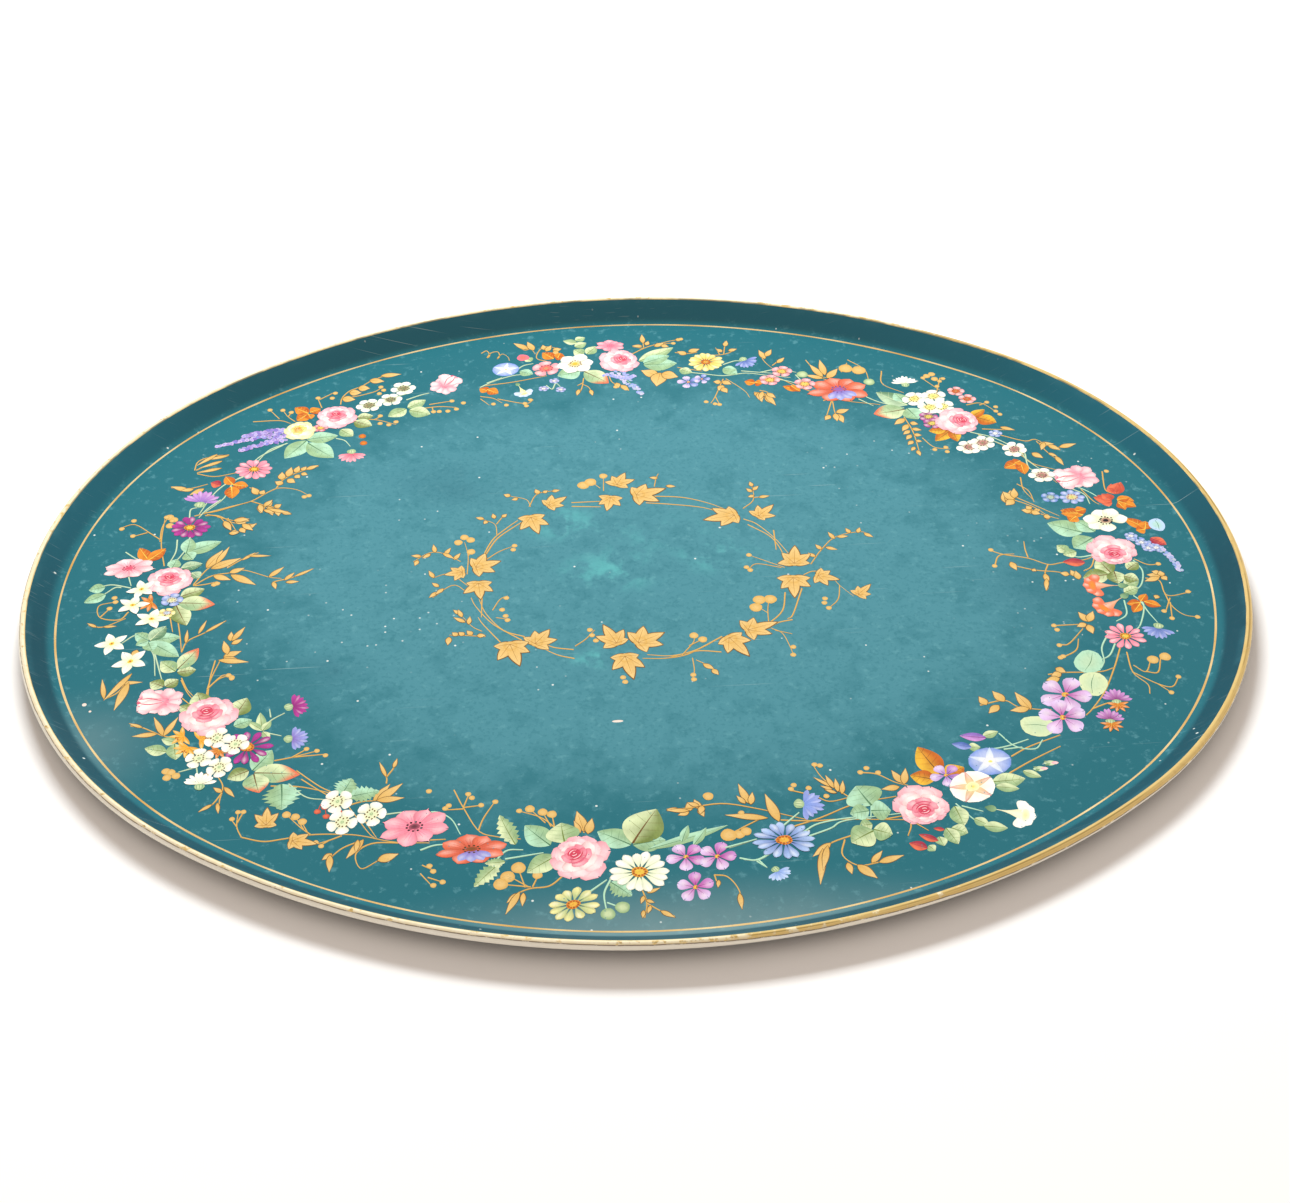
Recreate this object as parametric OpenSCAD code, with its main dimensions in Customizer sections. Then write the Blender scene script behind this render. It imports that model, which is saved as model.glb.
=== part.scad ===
// Oval serving tray of sheet steel, pressed in one piece, with a wired rolled edge.
// X runs along the tray, Z is up, and the origin is the centre of the underside.

/* [Outline] */
// Length over the rolled edge
tray_l = 762; // [740:2:800]
// Width over the rolled edge
tray_w = 616; // [590:2:640]

/* [Sheet] */
// Thickness of the steel sheet
sheet_t = 0.9; // [0.6:0.1:1.2]
// Radius of the cove where the floor turns up, on the upper face
cove_r = 10; // [6:1:14]
// Slope of the wall
wall_slope = 42; // [35:1:50]
// Rise of the wall, from the floor's upper face to the start of the curl
wall_rise = 12.2; // [11:0.1:16]

/* [Rolled edge] */
// Diameter of the stiffening wire
wire_d = 3.3; // [2.5:0.1:4]
// Play between the wire and the sheet round it
wire_play = 0.05; // [0.02:0.01:0.1]
// How far the sheet turns round the wire
curl_turn = 285; // [240:5:300]
// Gap between the two ends of the wire, where they butt inside the curl
wire_gap = 1.5; // [0.5:0.1:3]

/* [Hidden] */
$fn = 96;

// The oval is four arcs, two ends and two flatter sides, tangent where they meet.
// Their centres stand at the corners of two 3-4-5 triangles, side by side.
half_l = tray_l / 2;
half_w = tray_w / 2;
oval_step = (half_l - half_w) / 2;
end_x = 3 * oval_step;
side_y = 4 * oval_step;
end_r = half_l - end_x;
side_r = half_w + side_y;
join_angle = atan2(side_y, end_x);

// Centre, radius, first angle and sweep of each arc, going round from the right-hand end.
ARCS = [
  [[end_x, 0], end_r, -join_angle, 2 * join_angle],
  [[0, -side_y], side_r, join_angle, 180 - 2 * join_angle],
  [[-end_x, 0], end_r, 180 - join_angle, 2 * join_angle],
  [[0, side_y], side_r, 180 + join_angle, 180 - 2 * join_angle]
];

// The section is drawn with X as the distance from the outer edge, negative inwards.
bore_r = wire_d / 2 + wire_play;
curl_r = bore_r + sheet_t;
curl_x = -curl_r;
tangent_angle = 90 + wall_slope;
wall_top = sheet_t + wall_rise;
curl_z = wall_top - curl_r * sin(tangent_angle);
wall_top_x = curl_x + curl_r * cos(tangent_angle);
cove_rise = cove_r * (1 - cos(wall_slope));
wall_run = (wall_rise - cove_rise) / tan(wall_slope);
fold_x = wall_top_x - wall_run - cove_r * sin(wall_slope);
wall_len = (wall_rise - cove_rise) / sin(wall_slope);
floor_lap = 20;

// The part of the plane between two directions from the origin.
module wedge(from, sweep) {
  steps = ceil(sweep / 45);
  reach = 2 * tray_l;
  polygon(concat([[0, 0]], [
    for (i = [0 : steps])
      reach * [cos(from + sweep * i / steps), sin(from + sweep * i / steps)]
  ]));
}

// A strip of sheet bent round the origin, its inner face at radius r.
module bent_strip(r, from, sweep) {
  intersection() {
    difference() {
      circle(r + sheet_t);
      circle(r);
    }
    wedge(from, sweep);
  }
}

// The sheet from the edge of the floor outwards: cove, sloping wall and the curl round the wire.
module rim_section() {
  translate([fold_x, 0]) {
    translate([-floor_lap, 0])
      square([floor_lap, sheet_t]);
    translate([0, sheet_t + cove_r])
      bent_strip(cove_r, -90, wall_slope);
  }
  translate([wall_top_x, wall_top])
    rotate(180 + wall_slope)
      square([wall_len, sheet_t]);
  translate([curl_x, curl_z])
    bent_strip(bore_r, tangent_angle - curl_turn, curl_turn);
}

// Carries a section, drawn about the outer edge, all the way round the oval.
module round_oval() {
  for (arc = ARCS)
    translate(arc[0])
      intersection() {
        rotate_extrude()
          translate([arc[1], 0])
            children();
        translate([0, 0, -sheet_t])
          linear_extrude(wall_top + 2 * curl_r)
            wedge(arc[2], arc[3]);
      }
}

// The oval, moved in from the outer edge.
module oval(inset) {
  for (arc = ARCS)
    translate(arc[0])
      intersection() {
        circle(arc[1] - inset);
        wedge(arc[2], arc[3]);
      }
}

// Floor, wall and rolled edge, pressed from one sheet.
module pan() {
  color("steelblue") {
    linear_extrude(sheet_t)
      oval(floor_lap / 2 - fold_x);
    round_oval()
      rim_section();
  }
}

// Steel wire inside the rolled edge, bent to the oval, its ends butting in the middle of one side.
module edge_wire() {
  color("dimgray")
    difference() {
      round_oval()
        translate([curl_x, curl_z])
          circle(d = wire_d);
      translate([0, curl_r - half_w, curl_z])
        cube([wire_gap, 2 * wire_d, 2 * wire_d], center = true);
    }
}

pan();
edge_wire();
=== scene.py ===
"""Oval painted tray: teal lacquer, a garland of flowers, a gold wreath and a gilded rolled edge."""
import math
import random

import bpy
import numpy as np
from mathutils import Matrix, Vector


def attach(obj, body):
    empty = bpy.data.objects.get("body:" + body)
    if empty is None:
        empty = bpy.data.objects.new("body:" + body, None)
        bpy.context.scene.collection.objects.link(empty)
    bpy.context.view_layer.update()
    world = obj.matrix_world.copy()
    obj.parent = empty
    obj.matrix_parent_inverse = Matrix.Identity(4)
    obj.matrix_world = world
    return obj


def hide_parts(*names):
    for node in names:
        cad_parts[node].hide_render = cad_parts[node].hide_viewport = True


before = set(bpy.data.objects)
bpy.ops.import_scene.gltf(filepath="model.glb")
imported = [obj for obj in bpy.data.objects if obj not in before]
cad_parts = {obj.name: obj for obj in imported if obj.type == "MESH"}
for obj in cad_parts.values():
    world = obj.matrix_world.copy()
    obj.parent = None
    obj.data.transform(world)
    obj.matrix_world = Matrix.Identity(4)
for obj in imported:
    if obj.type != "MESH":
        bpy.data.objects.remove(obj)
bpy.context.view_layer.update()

MM = 0.001
rng = random.Random(7)


# ------------ mixing finishes
class Tone:
    """A value on its way through a finish. Arithmetic on it adds Math nodes."""

    def __init__(self, finish, socket):
        self.finish = finish
        self.socket = socket

    def _math(self, operation, *values):
        sockets = dict(enumerate(values))
        return self.finish.node("ShaderNodeMath", {"operation": operation}, sockets)

    def __add__(self, other):
        return self._math("ADD", self, other)

    def __radd__(self, other):
        return self._math("ADD", other, self)

    def __sub__(self, other):
        return self._math("SUBTRACT", self, other)

    def __rsub__(self, other):
        return self._math("SUBTRACT", other, self)

    def __mul__(self, other):
        return self._math("MULTIPLY", self, other)

    def __rmul__(self, other):
        return self._math("MULTIPLY", other, self)

    def clamped(self):
        """The value held between 0 and 1."""
        return self.finish.node("ShaderNodeClamp", {}, {"Value": self})


class Finish:
    """One material, built from nodes."""

    def __init__(self, name):
        self.material = bpy.data.materials.new(name)
        self.material.use_nodes = True
        self.tree = self.material.node_tree
        self.tree.nodes.clear()
        self.place = self.node("ShaderNodeTexCoord", {}, {}, "Object")

    def node(self, kind, settings, sockets, output=0):
        """Adds one node. A socket is fed by a Tone or holds a plain value."""
        made = self.tree.nodes.new(kind)
        for key, value in settings.items():
            setattr(made, key, value)
        for key, value in sockets.items():
            if isinstance(value, Tone):
                self.tree.links.new(value.socket, made.inputs[key])
            else:
                made.inputs[key].default_value = value
        return Tone(self, made.outputs[output])

    def noise(self, scale, detail=3.0, roughness=0.55, stretch=None):
        """Cloudy noise about 0.5, finer as scale rises."""
        place = self.place if stretch is None else self.stretched(stretch)
        inputs = {"Vector": place, "Scale": scale, "Detail": detail, "Roughness": roughness}
        return self.node("ShaderNodeTexNoise", {}, inputs)

    def stretched(self, scale, turn=0.0, shift=(0, 0, 0)):
        """The place on the tray, scaled, turned and moved before a pattern is drawn on it."""
        inputs = {"Vector": self.place, "Scale": scale, "Rotation": (0, 0, turn), "Location": shift}
        return self.node("ShaderNodeMapping", {}, inputs)

    def attribute(self, name, output):
        """A value that the mesh carries."""
        return self.node("ShaderNodeAttribute", {"attribute_name": name}, {}, output)

    def axis(self, number, vector=None):
        """One coordinate of the place on the tray, or of another vector."""
        return self.node("ShaderNodeSeparateXYZ", {}, {0: vector or self.place}, number)

    def ramp(self, value, low, high):
        """0 where the value is at low, 1 where it is at high, smooth in between."""
        inputs = {"Value": value, "From Min": low, "From Max": high, "To Min": 0.0, "To Max": 1.0}
        return self.node("ShaderNodeMapRange", {"interpolation_type": "SMOOTHSTEP"}, inputs)

    def blend(self, factor, first, second, how="MIX"):
        """The first colour where the factor is 0 and the second where it is 1."""
        settings = {"data_type": "RGBA", "blend_type": how}
        return self.node("ShaderNodeMix", settings, {0: factor, 6: first, 7: second}, 2)

    def spot(self, x, y, across, along=None, turn=0.0):
        """1 at a place on the tray, given in millimetres, falling to 0 at its edge."""
        along = along or across
        inputs = {0: self.place, 1: (x * MM, y * MM, 0)}
        near = self.node("ShaderNodeVectorMath", {"operation": "SUBTRACT"}, inputs)
        size = (1 / (across * MM), 1 / (along * MM), 0)
        inputs = {"Vector": near, "Rotation": (0, 0, -turn), "Scale": size}
        near = self.node("ShaderNodeMapping", {}, inputs)
        far = self.node("ShaderNodeVectorMath", {"operation": "LENGTH"}, {0: near}, "Value")
        return self.ramp(far, 1.0, 0.0)

    def bump(self, height, distance, strength):
        """Surface relief whose full height is the distance, in metres."""
        inputs = {"Height": height, "Distance": distance, "Strength": strength}
        return self.node("ShaderNodeBump", {}, inputs)

    def finished(self, **sockets):
        """Ends the finish with a Principled shader. Socket names are given with _ for a space."""
        named = {key.replace("_", " "): value for key, value in sockets.items()}
        shader = self.node("ShaderNodeBsdfPrincipled", {}, named)
        end = self.tree.nodes.new("ShaderNodeOutputMaterial")
        self.tree.links.new(shader.socket, end.inputs["Surface"])
        return self.material


# ------------ the oval and its section
# Lengths are in millimetres. An inset is a distance inwards from the outer edge.
SHEET = 0.9
HALF_LENGTH, HALF_WIDTH = 381.0, 308.0
OVAL_STEP = (HALF_LENGTH - HALF_WIDTH) / 2
END_X, SIDE_Y = 3 * OVAL_STEP, 4 * OVAL_STEP
END_R, SIDE_R = HALF_LENGTH - END_X, HALF_WIDTH + SIDE_Y
JOIN = math.atan2(SIDE_Y, END_X)
WALL_SLOPE = math.radians(42)
COVE_R = 10.0
WALL_RISE = 12.2
BORE_R = 1.7
CURL_R = BORE_R + SHEET
CURL_TURN = math.radians(285)
STATIONS = 480
COVE_STEPS, WALL_STEPS, CURL_STEPS, BORE_STEPS, UNDER_STEPS = 9, 7, 46, 30, 6
EDGE_LEAN, EDGE_LEAN_SWAY, EDGE_DIP = 0.13, 0.11, 0.18

TANGENT = math.pi / 2 + WALL_SLOPE
WALL_TOP = SHEET + WALL_RISE
CURL_Z = WALL_TOP - CURL_R * math.sin(TANGENT)
WALL_TOP_IN = CURL_R - CURL_R * math.cos(TANGENT)
COVE_RISE = COVE_R * (1 - math.cos(WALL_SLOPE))
WALL_RUN = (WALL_RISE - COVE_RISE) / math.tan(WALL_SLOPE)
FOLD_IN = WALL_TOP_IN + WALL_RUN + COVE_R * math.sin(WALL_SLOPE)


def oval_frame(count):
    """Arc centres, arc radii and outward directions at even steps round the outer edge."""
    arcs = [
        (END_X, 0, END_R, -JOIN, JOIN),
        (0, -SIDE_Y, SIDE_R, JOIN, math.pi - JOIN),
        (-END_X, 0, END_R, math.pi - JOIN, math.pi + JOIN),
        (0, SIDE_Y, SIDE_R, math.pi + JOIN, 2 * math.pi - JOIN),
    ]
    lengths = [radius * (to - start) for _, _, radius, start, to in arcs]
    rows = []
    for step in range(count):
        run = sum(lengths) * step / count
        for (x, y, radius, start, to), length in zip(arcs, lengths):
            if run < length:
                angle = start + run / radius
                rows.append((x, y, radius, math.cos(angle), math.sin(angle)))
                break
            run -= length
    return np.array(rows)


def on_oval(frame_rows, inset):
    """Points of the oval moved in from the outer edge. The inset may differ at each one."""
    reach = frame_rows[:, 2] - inset
    return frame_rows[:, :2] + reach[:, None] * frame_rows[:, 3:]


def arc_points(centre_in, centre_z, radius, start, to, count):
    """(inset, height, angle) along an arc of the section; angle 0 points outwards."""
    angles = np.linspace(start, to, count)
    return [(centre_in - radius * math.cos(a), centre_z + radius * math.sin(a), a) for a in angles]


def tray_section():
    """The sheet's section as a closed run of (inset, height, zone, turn round the curl)."""
    down = -math.pi / 2
    cove_top = SHEET + COVE_R
    cove = arc_points(FOLD_IN, cove_top, COVE_R, down, down + WALL_SLOPE, COVE_STEPS)
    face = [(i, z) for i, z, _ in cove]
    wall_from = np.array(face[-1])
    wall_to = np.array([WALL_TOP_IN, WALL_TOP])
    face += [tuple(wall_from + (wall_to - wall_from) * k / WALL_STEPS) for k in range(1, WALL_STEPS)]
    run = [(i, z, "ground", TANGENT) for i, z in face]
    curl = arc_points(CURL_R, CURL_Z, CURL_R, TANGENT, TANGENT - CURL_TURN, CURL_STEPS)
    run += [(i, z, "rim", a) for i, z, a in curl]
    bore = arc_points(CURL_R, CURL_Z, BORE_R, TANGENT - CURL_TURN, TANGENT, BORE_STEPS)
    run += [(i, z, "back", a) for i, z, a in bore]
    under = arc_points(FOLD_IN, cove_top, COVE_R + SHEET, down + WALL_SLOPE, down, COVE_STEPS)
    bore_end = np.array(bore[-1][:2])
    wall_end = np.array(under[0][:2])
    for k in range(1, UNDER_STEPS):
        run.append((*(bore_end + (wall_end - bore_end) * k / UNDER_STEPS), "back", TANGENT))
    run += [(i, z, "back", TANGENT) for i, z, _ in under]
    return run


# Rings across the flat floor, as shares of the way from its middle to the fold.
RINGS = [0.02, 0.12, 0.25, 0.4, 0.55, 0.7, 0.82, 0.9, 0.96]
EDGE = oval_frame(STATIONS)


def sway(count, waves, seed):
    """A slow unevenness round the edge, between 0 and 1."""
    turns = np.arange(count) / count * 2 * math.pi
    start = np.random.default_rng(seed).uniform(0, 2 * math.pi, len(waves))
    total = sum(np.sin(wave * turns + s) for wave, s in zip(waves, start))
    return 0.5 + 0.5 * total / len(waves)


def build_mesh(name, points, faces, smooth_angle=None):
    """A mesh object from points in millimetres."""
    mesh = bpy.data.meshes.new(name)
    mesh.from_pydata((np.asarray(points) * MM).tolist(), [], faces)
    mesh.polygons.foreach_set("use_smooth", [True] * len(mesh.polygons))
    if smooth_angle is not None:
        mesh.set_sharp_from_angle(angle=smooth_angle)
    mesh.update()
    made = bpy.data.objects.new(name, mesh)
    bpy.context.scene.collection.objects.link(made)
    return made


def make_pan():
    """The whole sheet as one closed skin: floor, cove, wall, curl, and back again underneath."""
    section = tray_section()
    fold = on_oval(EDGE, FOLD_IN)
    rows = [np.column_stack([fold * ring, np.full(STATIONS, SHEET)]) for ring in RINGS]
    zones = ["ground"] * len(RINGS)
    turns = [TANGENT] * len(RINGS)
    lean = EDGE_LEAN + EDGE_LEAN_SWAY * sway(STATIONS, (2, 5, 9, 14), 3)
    dip = EDGE_DIP * sway(STATIONS, (3, 4, 11, 23), 5)
    for inset, z, zone, turn in section:
        share = min(1.0, max(0.0, (FOLD_IN - inset) / FOLD_IN))
        ring = on_oval(EDGE, inset + lean * share)
        rows.append(np.column_stack([ring, z - dip * share * (z > 2)]))
        zones.append(zone)
        turns.append(turn)
    for ring in reversed(RINGS):
        rows.append(np.column_stack([fold * ring, np.zeros(STATIONS)]))
        zones.append("back")
        turns.append(TANGENT)
    points = np.concatenate(rows)
    faces, slots = [], []
    around = range(STATIONS)
    for row in range(len(rows) - 1):
        a, b = row * STATIONS, (row + 1) * STATIONS
        for k in around:
            n = (k + 1) % STATIONS
            faces.append((a + k, b + k, b + n, a + n))
        slots += [("ground", "rim", "back").index(zones[row])] * STATIONS
    faces.append(tuple(around))
    last = (len(rows) - 1) * STATIONS
    faces.append(tuple(last + k for k in reversed(around)))
    slots += [0, 2]
    pan = build_mesh("tray_pan", points, faces, math.radians(35))
    pan.data.polygons.foreach_set("material_index", slots)
    curl_turn = pan.data.attributes.new("curl_turn", "FLOAT", "POINT")
    curl_turn.data.foreach_set("value", np.repeat(np.degrees(turns), STATIONS).astype(np.float32))
    around_edge = pan.data.attributes.new("clock", "FLOAT_VECTOR", "POINT")
    compass = np.column_stack([EDGE[:, 3:], np.zeros(STATIONS)])
    around_edge.data.foreach_set("vector", np.tile(compass, (len(rows), 1)).astype(np.float32).ravel())
    return pan


# ------------ finishes of the sheet
TEAL = (0.010, 0.134, 0.172, 1)
# Painted shade for the wall: darker at the front and the ends, lighter on the far side.
TEAL_WALL_SHADE = (0.002, 0.053, 0.080, 1)
TEAL_WALL_SHADE_BACK = (0.007, 0.140, 0.200, 1)
# Teal with a painted sheen, for the middle of the floor and the top of the wall.
TEAL_SHEEN = (0.060, 0.234, 0.287, 1)
TURQUOISE = (0.100, 0.430, 0.440, 1)
STAIN = (0.010, 0.100, 0.140, 1)
PALE_SCRATCH = (0.42, 0.55, 0.56, 1)
CHIP = (0.80, 0.68, 0.60, 1)
BLOOM = (0.110, 0.320, 0.370, 1)
HANDLED = (0.24, 0.34, 0.35, 1)
SPECK = (0.66, 0.72, 0.70, 1)
LEAF_WARM = (0.78, 0.55, 0.18, 1)
LEAF_BRIGHT = (0.92, 0.72, 0.32, 1)
LEAF_RUBBED = (0.42, 0.27, 0.08, 1)
# A painted dark reflection along the top of the gold bead.
LEAF_DARK_REFLECTION = (0.34, 0.22, 0.06, 1)
IVORY_WARM = (0.90, 0.86, 0.72, 1)
IVORY_PALE = (0.96, 0.94, 0.86, 1)
IVORY_STAIN = (0.48, 0.38, 0.22, 1)
BARE_PALE = (0.93, 0.90, 0.78, 1)
BARE_WARM = (0.86, 0.78, 0.56, 1)
EDGE_LINE = (0.13, 0.07, 0.03, 1)
# Painted shade under the bead.
BEAD_UNDER_SHADE = (0.50, 0.42, 0.28, 1)
# Painted shade where the bead meets the wall.
BEAD_JOIN_SHADE = (0.10, 0.12, 0.09, 1)
JAPAN_BLACK = (0.006, 0.006, 0.007, 1)
JAPAN_BROWN = (0.018, 0.016, 0.014, 1)
JAPAN_RUBBED = (0.10, 0.085, 0.07, 1)
WIRE_DARK = (0.30, 0.29, 0.28, 1)
WIRE_PALE = (0.42, 0.41, 0.40, 1)


def speckle(f, scale, share, size):
    """Scattered specks: a share of the cells holds one, size is its radius within the cell."""
    cells = {"Vector": f.place, "Scale": scale, "Randomness": 1.0}
    flat = {"feature": "F1", "voronoi_dimensions": "2D"}
    near = f.node("ShaderNodeTexVoronoi", flat, cells, "Distance")
    which = f.node("ShaderNodeTexVoronoi", flat, cells, "Color")
    pick = f.node("ShaderNodeSeparateColor", {}, {0: which}, 0)
    return f.ramp(near, size, size * 0.55) * f.ramp(pick, 1 - share, 1 - share * 0.9)


def scratches(f, turn, length, width, share, shift):
    """Fine scratches that all run about one way."""
    lie = f.stretched((length, width, 1), turn, shift)
    lines = f.node("ShaderNodeTexNoise", {}, {"Vector": lie, "Scale": 1.0, "Detail": 1.5})
    return f.ramp(lines, 1 - share, 1 - share * 0.82)


def teal_ground():
    """Satin teal lacquer with a painted sheen in the middle and near the top of the wall and painted shade
    on the wall, rubbed, stained and scratched.
    """
    f = Finish("teal_lacquer")
    height = f.axis(2)
    cloud = f.noise(6.0, 5.0, 0.62)
    mottle = f.noise(38.0, 5.0, 0.66)
    grain = f.noise(420.0, 2.0)
    middle = f.spot(0, 5, 405, 325)
    # Painted sheen: the middle of the floor is lightened towards a greyer teal, broken up by cloudy
    # unevenness.
    sheen = middle * 0.91 + f.spot(0, 0, 320, 240) * 0.22 + (cloud - 0.5) * 0.62 + (mottle - 0.5) * 0.4
    colour = f.blend(f.ramp(sheen, 0.08, 0.60), TEAL, TEAL_SHEEN)
    colour = f.blend(f.ramp(mottle, 0.50, 0.34) * 0.30, colour, TEAL)
    colour = f.blend(f.ramp(grain, 0.50, 0.66) * 0.30, colour, TEAL)
    colour = f.blend(f.ramp(f.noise(150.0, 3.0, 0.7), 0.55, 0.74) * 0.5, colour, BLOOM)
    handled = f.spot(0, -300, 240, 60) + f.spot(-330, -130, 60, 60) * 0.5
    colour = f.blend((handled * (0.35 + 0.5 * mottle)).clamped(), colour, HANDLED)

    rubbed = (f.spot(-43, 58, 34, 26) + f.spot(-17, 7, 44, 30) + f.spot(54, 16, 36, 22)
              + f.spot(-32, -73, 26, 14) + f.spot(12, 40, 60, 34) * 0.35)
    rubbed = rubbed * f.ramp(mottle, 0.46, 0.62) * 0.72
    colour = f.blend(rubbed.clamped(), colour, TURQUOISE)
    stained = (f.spot(-238, -75, 60, 26) + f.spot(-188, -73, 34, 24) + f.spot(-110, 108, 70, 40, 0.5) * 0.7
               + f.spot(250, -30, 60, 50) * 0.5 + f.spot(-300, -150, 50, 40) * 0.6)
    stained = stained * f.ramp(cloud * 0.5 + mottle * 0.5, 0.40, 0.62) * 0.62
    colour = f.blend(stained.clamped(), colour, STAIN)

    # Painted shade: the cove and wall are darkened, most at the front and the ends, less on the far side.
    wall = f.ramp(height, 1.1 * MM, 5 * MM)
    northing = f.axis(1)
    deep = f.blend(f.ramp(northing, -60 * MM, 170 * MM), TEAL_WALL_SHADE, TEAL_WALL_SHADE_BACK)
    colour = f.blend(wall * (1.05 - 0.25 * cloud).clamped(), colour, deep)
    # Painted reflection: the top of the wall is lightened in patches towards the same sheen teal.
    wall_top_sheen = f.ramp(height, 9 * MM, 12.6 * MM)
    colour = f.blend(wall_top_sheen * f.ramp(mottle, 0.42, 0.66) * 0.22, colour, TEAL_SHEEN)

    busy = f.ramp(f.noise(9.0, 2.0), 0.42, 0.66)
    marks = scratches(f, 0.35, 9, 900, 0.27, (3, 1, 0)) + scratches(f, 2.1, 11, 1100, 0.26, (7, 5, 0))
    marks = marks + scratches(f, 1.2, 14, 800, 0.25, (1, 9, 0)) * busy
    colour = f.blend((marks * busy * 0.8).clamped(), colour, PALE_SCRATCH)
    scuffs = scratches(f, 0.2, 60, 900, 0.36, (2, 2, 0)) * wall * f.ramp(cloud, 0.45, 0.6)
    colour = f.blend((scuffs * 0.2).clamped(), colour, PALE_SCRATCH)
    specks = speckle(f, 52.0, 0.05, 0.045) + speckle(f, 120.0, 0.035, 0.085) * busy
    dusty = (f.spot(260, -20, 60, 70) + f.spot(-160, -30, 80, 60) + f.spot(170, 110, 60, 40)
             + f.spot(-60, -285, 160, 14))
    specks = specks + speckle(f, 190.0, 0.06, 0.15) * dusty.clamped()
    colour = f.blend(specks.clamped(), colour, SPECK)
    chips = f.spot(-22, -129, 6, 1.8, 0.15) + f.spot(-334, -91, 2.4) + f.spot(-330, -97, 1.6)
    chips = f.ramp(chips + 0.5 * mottle, 0.62, 0.74)
    colour = f.blend(chips, colour, CHIP)

    roughness = 0.46 + 0.14 * cloud - 0.10 * rubbed + 0.18 * stained + 0.2 * marks * busy
    relief = mottle * 0.35 + grain * 0.08 - marks * busy * 0.6 - chips * 1.5
    return f.finished(
        Base_Color=colour,
        Roughness=roughness.clamped(),
        Specular_IOR_Level=0.42,
        Normal=f.bump(relief, 0.12 * MM, 0.55),
    )


def rim_gilding():
    """Gold leaf over the top of the rolled edge, ivory below it, a brown line between them, with a painted
    dark reflection along the top and painted shade under the bead and where it meets the wall.
    """
    f = Finish("gilded_rolled_edge")
    turn = f.attribute("curl_turn", "Fac")
    compass = f.attribute("clock", "Vector")
    east = f.axis(0, compass)
    north = f.axis(1, compass)
    fine = f.noise(160.0, 5.0, 0.7)
    broad = f.noise(14.0, 3.0)
    wobble = (f.noise(70.0, 4.0) - 0.5) * 22
    kept = f.ramp(0.9 * east - 0.15 * north + (broad - 0.5) * 0.9, -0.05, 0.60)
    leaf_edge = 22 + 34 * (1 - kept) + wobble
    ivory = f.ramp(turn - leaf_edge, 3, -3)
    worn_through = f.ramp(fine + 0.34 * broad - 0.30 * kept, 0.50, 0.62)
    worn_through = worn_through * (1 - f.ramp(turn, 112, 128)) * 0.8
    gold = f.blend(f.noise(55.0, 3.0), LEAF_WARM, LEAF_BRIGHT)
    gold = f.blend(f.ramp(fine, 0.5, 0.75) * 0.25, gold, LEAF_RUBBED)
    # Painted dark reflection: a dark band along the top of the bead, in patches.
    dark_reflection = f.ramp(turn + wobble * 0.3, 66, 76) * f.ramp(turn + wobble * 0.3, 96, 84)
    gold = f.blend(dark_reflection * f.ramp(broad, 0.35, 0.55) * 0.75, gold, LEAF_DARK_REFLECTION)
    cream = f.blend(f.noise(30.0, 4.0), IVORY_WARM, IVORY_PALE)
    cream = f.blend(f.ramp(fine, 0.64, 0.74) * 0.35, cream, IVORY_STAIN)
    bare = f.blend(f.ramp(fine, 0.30, 0.62), BARE_PALE, BARE_WARM)
    colour = f.blend(worn_through, gold, bare)
    colour = f.blend(ivory, colour, cream)
    line = f.ramp(turn - leaf_edge, 9, 1) * f.ramp(turn - leaf_edge, -11, -3)
    colour = f.blend(line * f.ramp(fine + 0.2 * broad, 0.40, 0.60) * 0.85, colour, EDGE_LINE)
    # Painted shade: the underside of the bead is darkened towards a brownish ivory.
    low = f.ramp(turn, -30, -80)
    colour = f.blend(low * 0.45, colour, BEAD_UNDER_SHADE)
    # Painted shade where the bead meets the wall, in patches and wider on the far side; the gold is made
    # less metallic there too.
    inner = f.ramp(turn + 14 * north, 114, 127)
    colour = f.blend(inner * f.ramp(f.noise(45.0), 0.42, 0.6) * 0.7, colour, BEAD_JOIN_SHADE)
    metal = (1 - ivory) * (1 - worn_through) * (1 - inner * 0.5)
    relief = fine * 0.4 + broad * 0.4 - worn_through * 0.5
    return f.finished(
        Base_Color=colour,
        Roughness=(0.44 - metal * 0.14 + fine * 0.12).clamped(),
        Metallic=(metal * 0.45).clamped(),
        Normal=f.bump(relief, 0.15 * MM, 0.7),
    )


def japanned_back():
    """Thin black japan underneath, browner and duller where the tray has stood and slid."""
    f = Finish("black_japanned_back")
    tint = f.blend(f.noise(12.0), JAPAN_BLACK, JAPAN_BROWN)
    rubs = scratches(f, 0.9, 12, 700, 0.30, (4, 4, 0)) + scratches(f, 2.4, 10, 900, 0.28, (8, 2, 0))
    height = f.axis(2)
    stood_on = f.ramp(height, 0.6 * MM, 0.0) * f.ramp(f.noise(16.0, 4.0), 0.45, 0.62)
    tint = f.blend((rubs * 0.5 + stood_on * 0.35).clamped(), tint, JAPAN_RUBBED)
    relief = f.noise(180.0, 3.0) - rubs * 0.4
    return f.finished(
        Base_Color=tint,
        Roughness=(0.26 + 0.22 * stood_on + 0.2 * rubs).clamped(),
        Normal=f.bump(relief, 0.08 * MM, 0.5),
    )


def drawn_wire():
    """Plain drawn steel for the wire inside the curl."""
    f = Finish("drawn_steel_wire")
    streak = f.noise(400.0, 2.0)
    tint = f.blend(streak, WIRE_DARK, WIRE_PALE)
    return f.finished(Base_Color=tint, Roughness=0.35 + streak * 0.15, Metallic=0.9)


# ------------ paint laid on the floor
# laid holds the height of the paint above the floor, cell by cell over the whole tray.
LAYER = 0.003
PAINT_LIFT = 0.02
CELL = 3.0
CELLS = (270, 220)
LEAF_FULLEST = 0.45
laid = np.full(CELLS, PAINT_LIFT)


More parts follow.
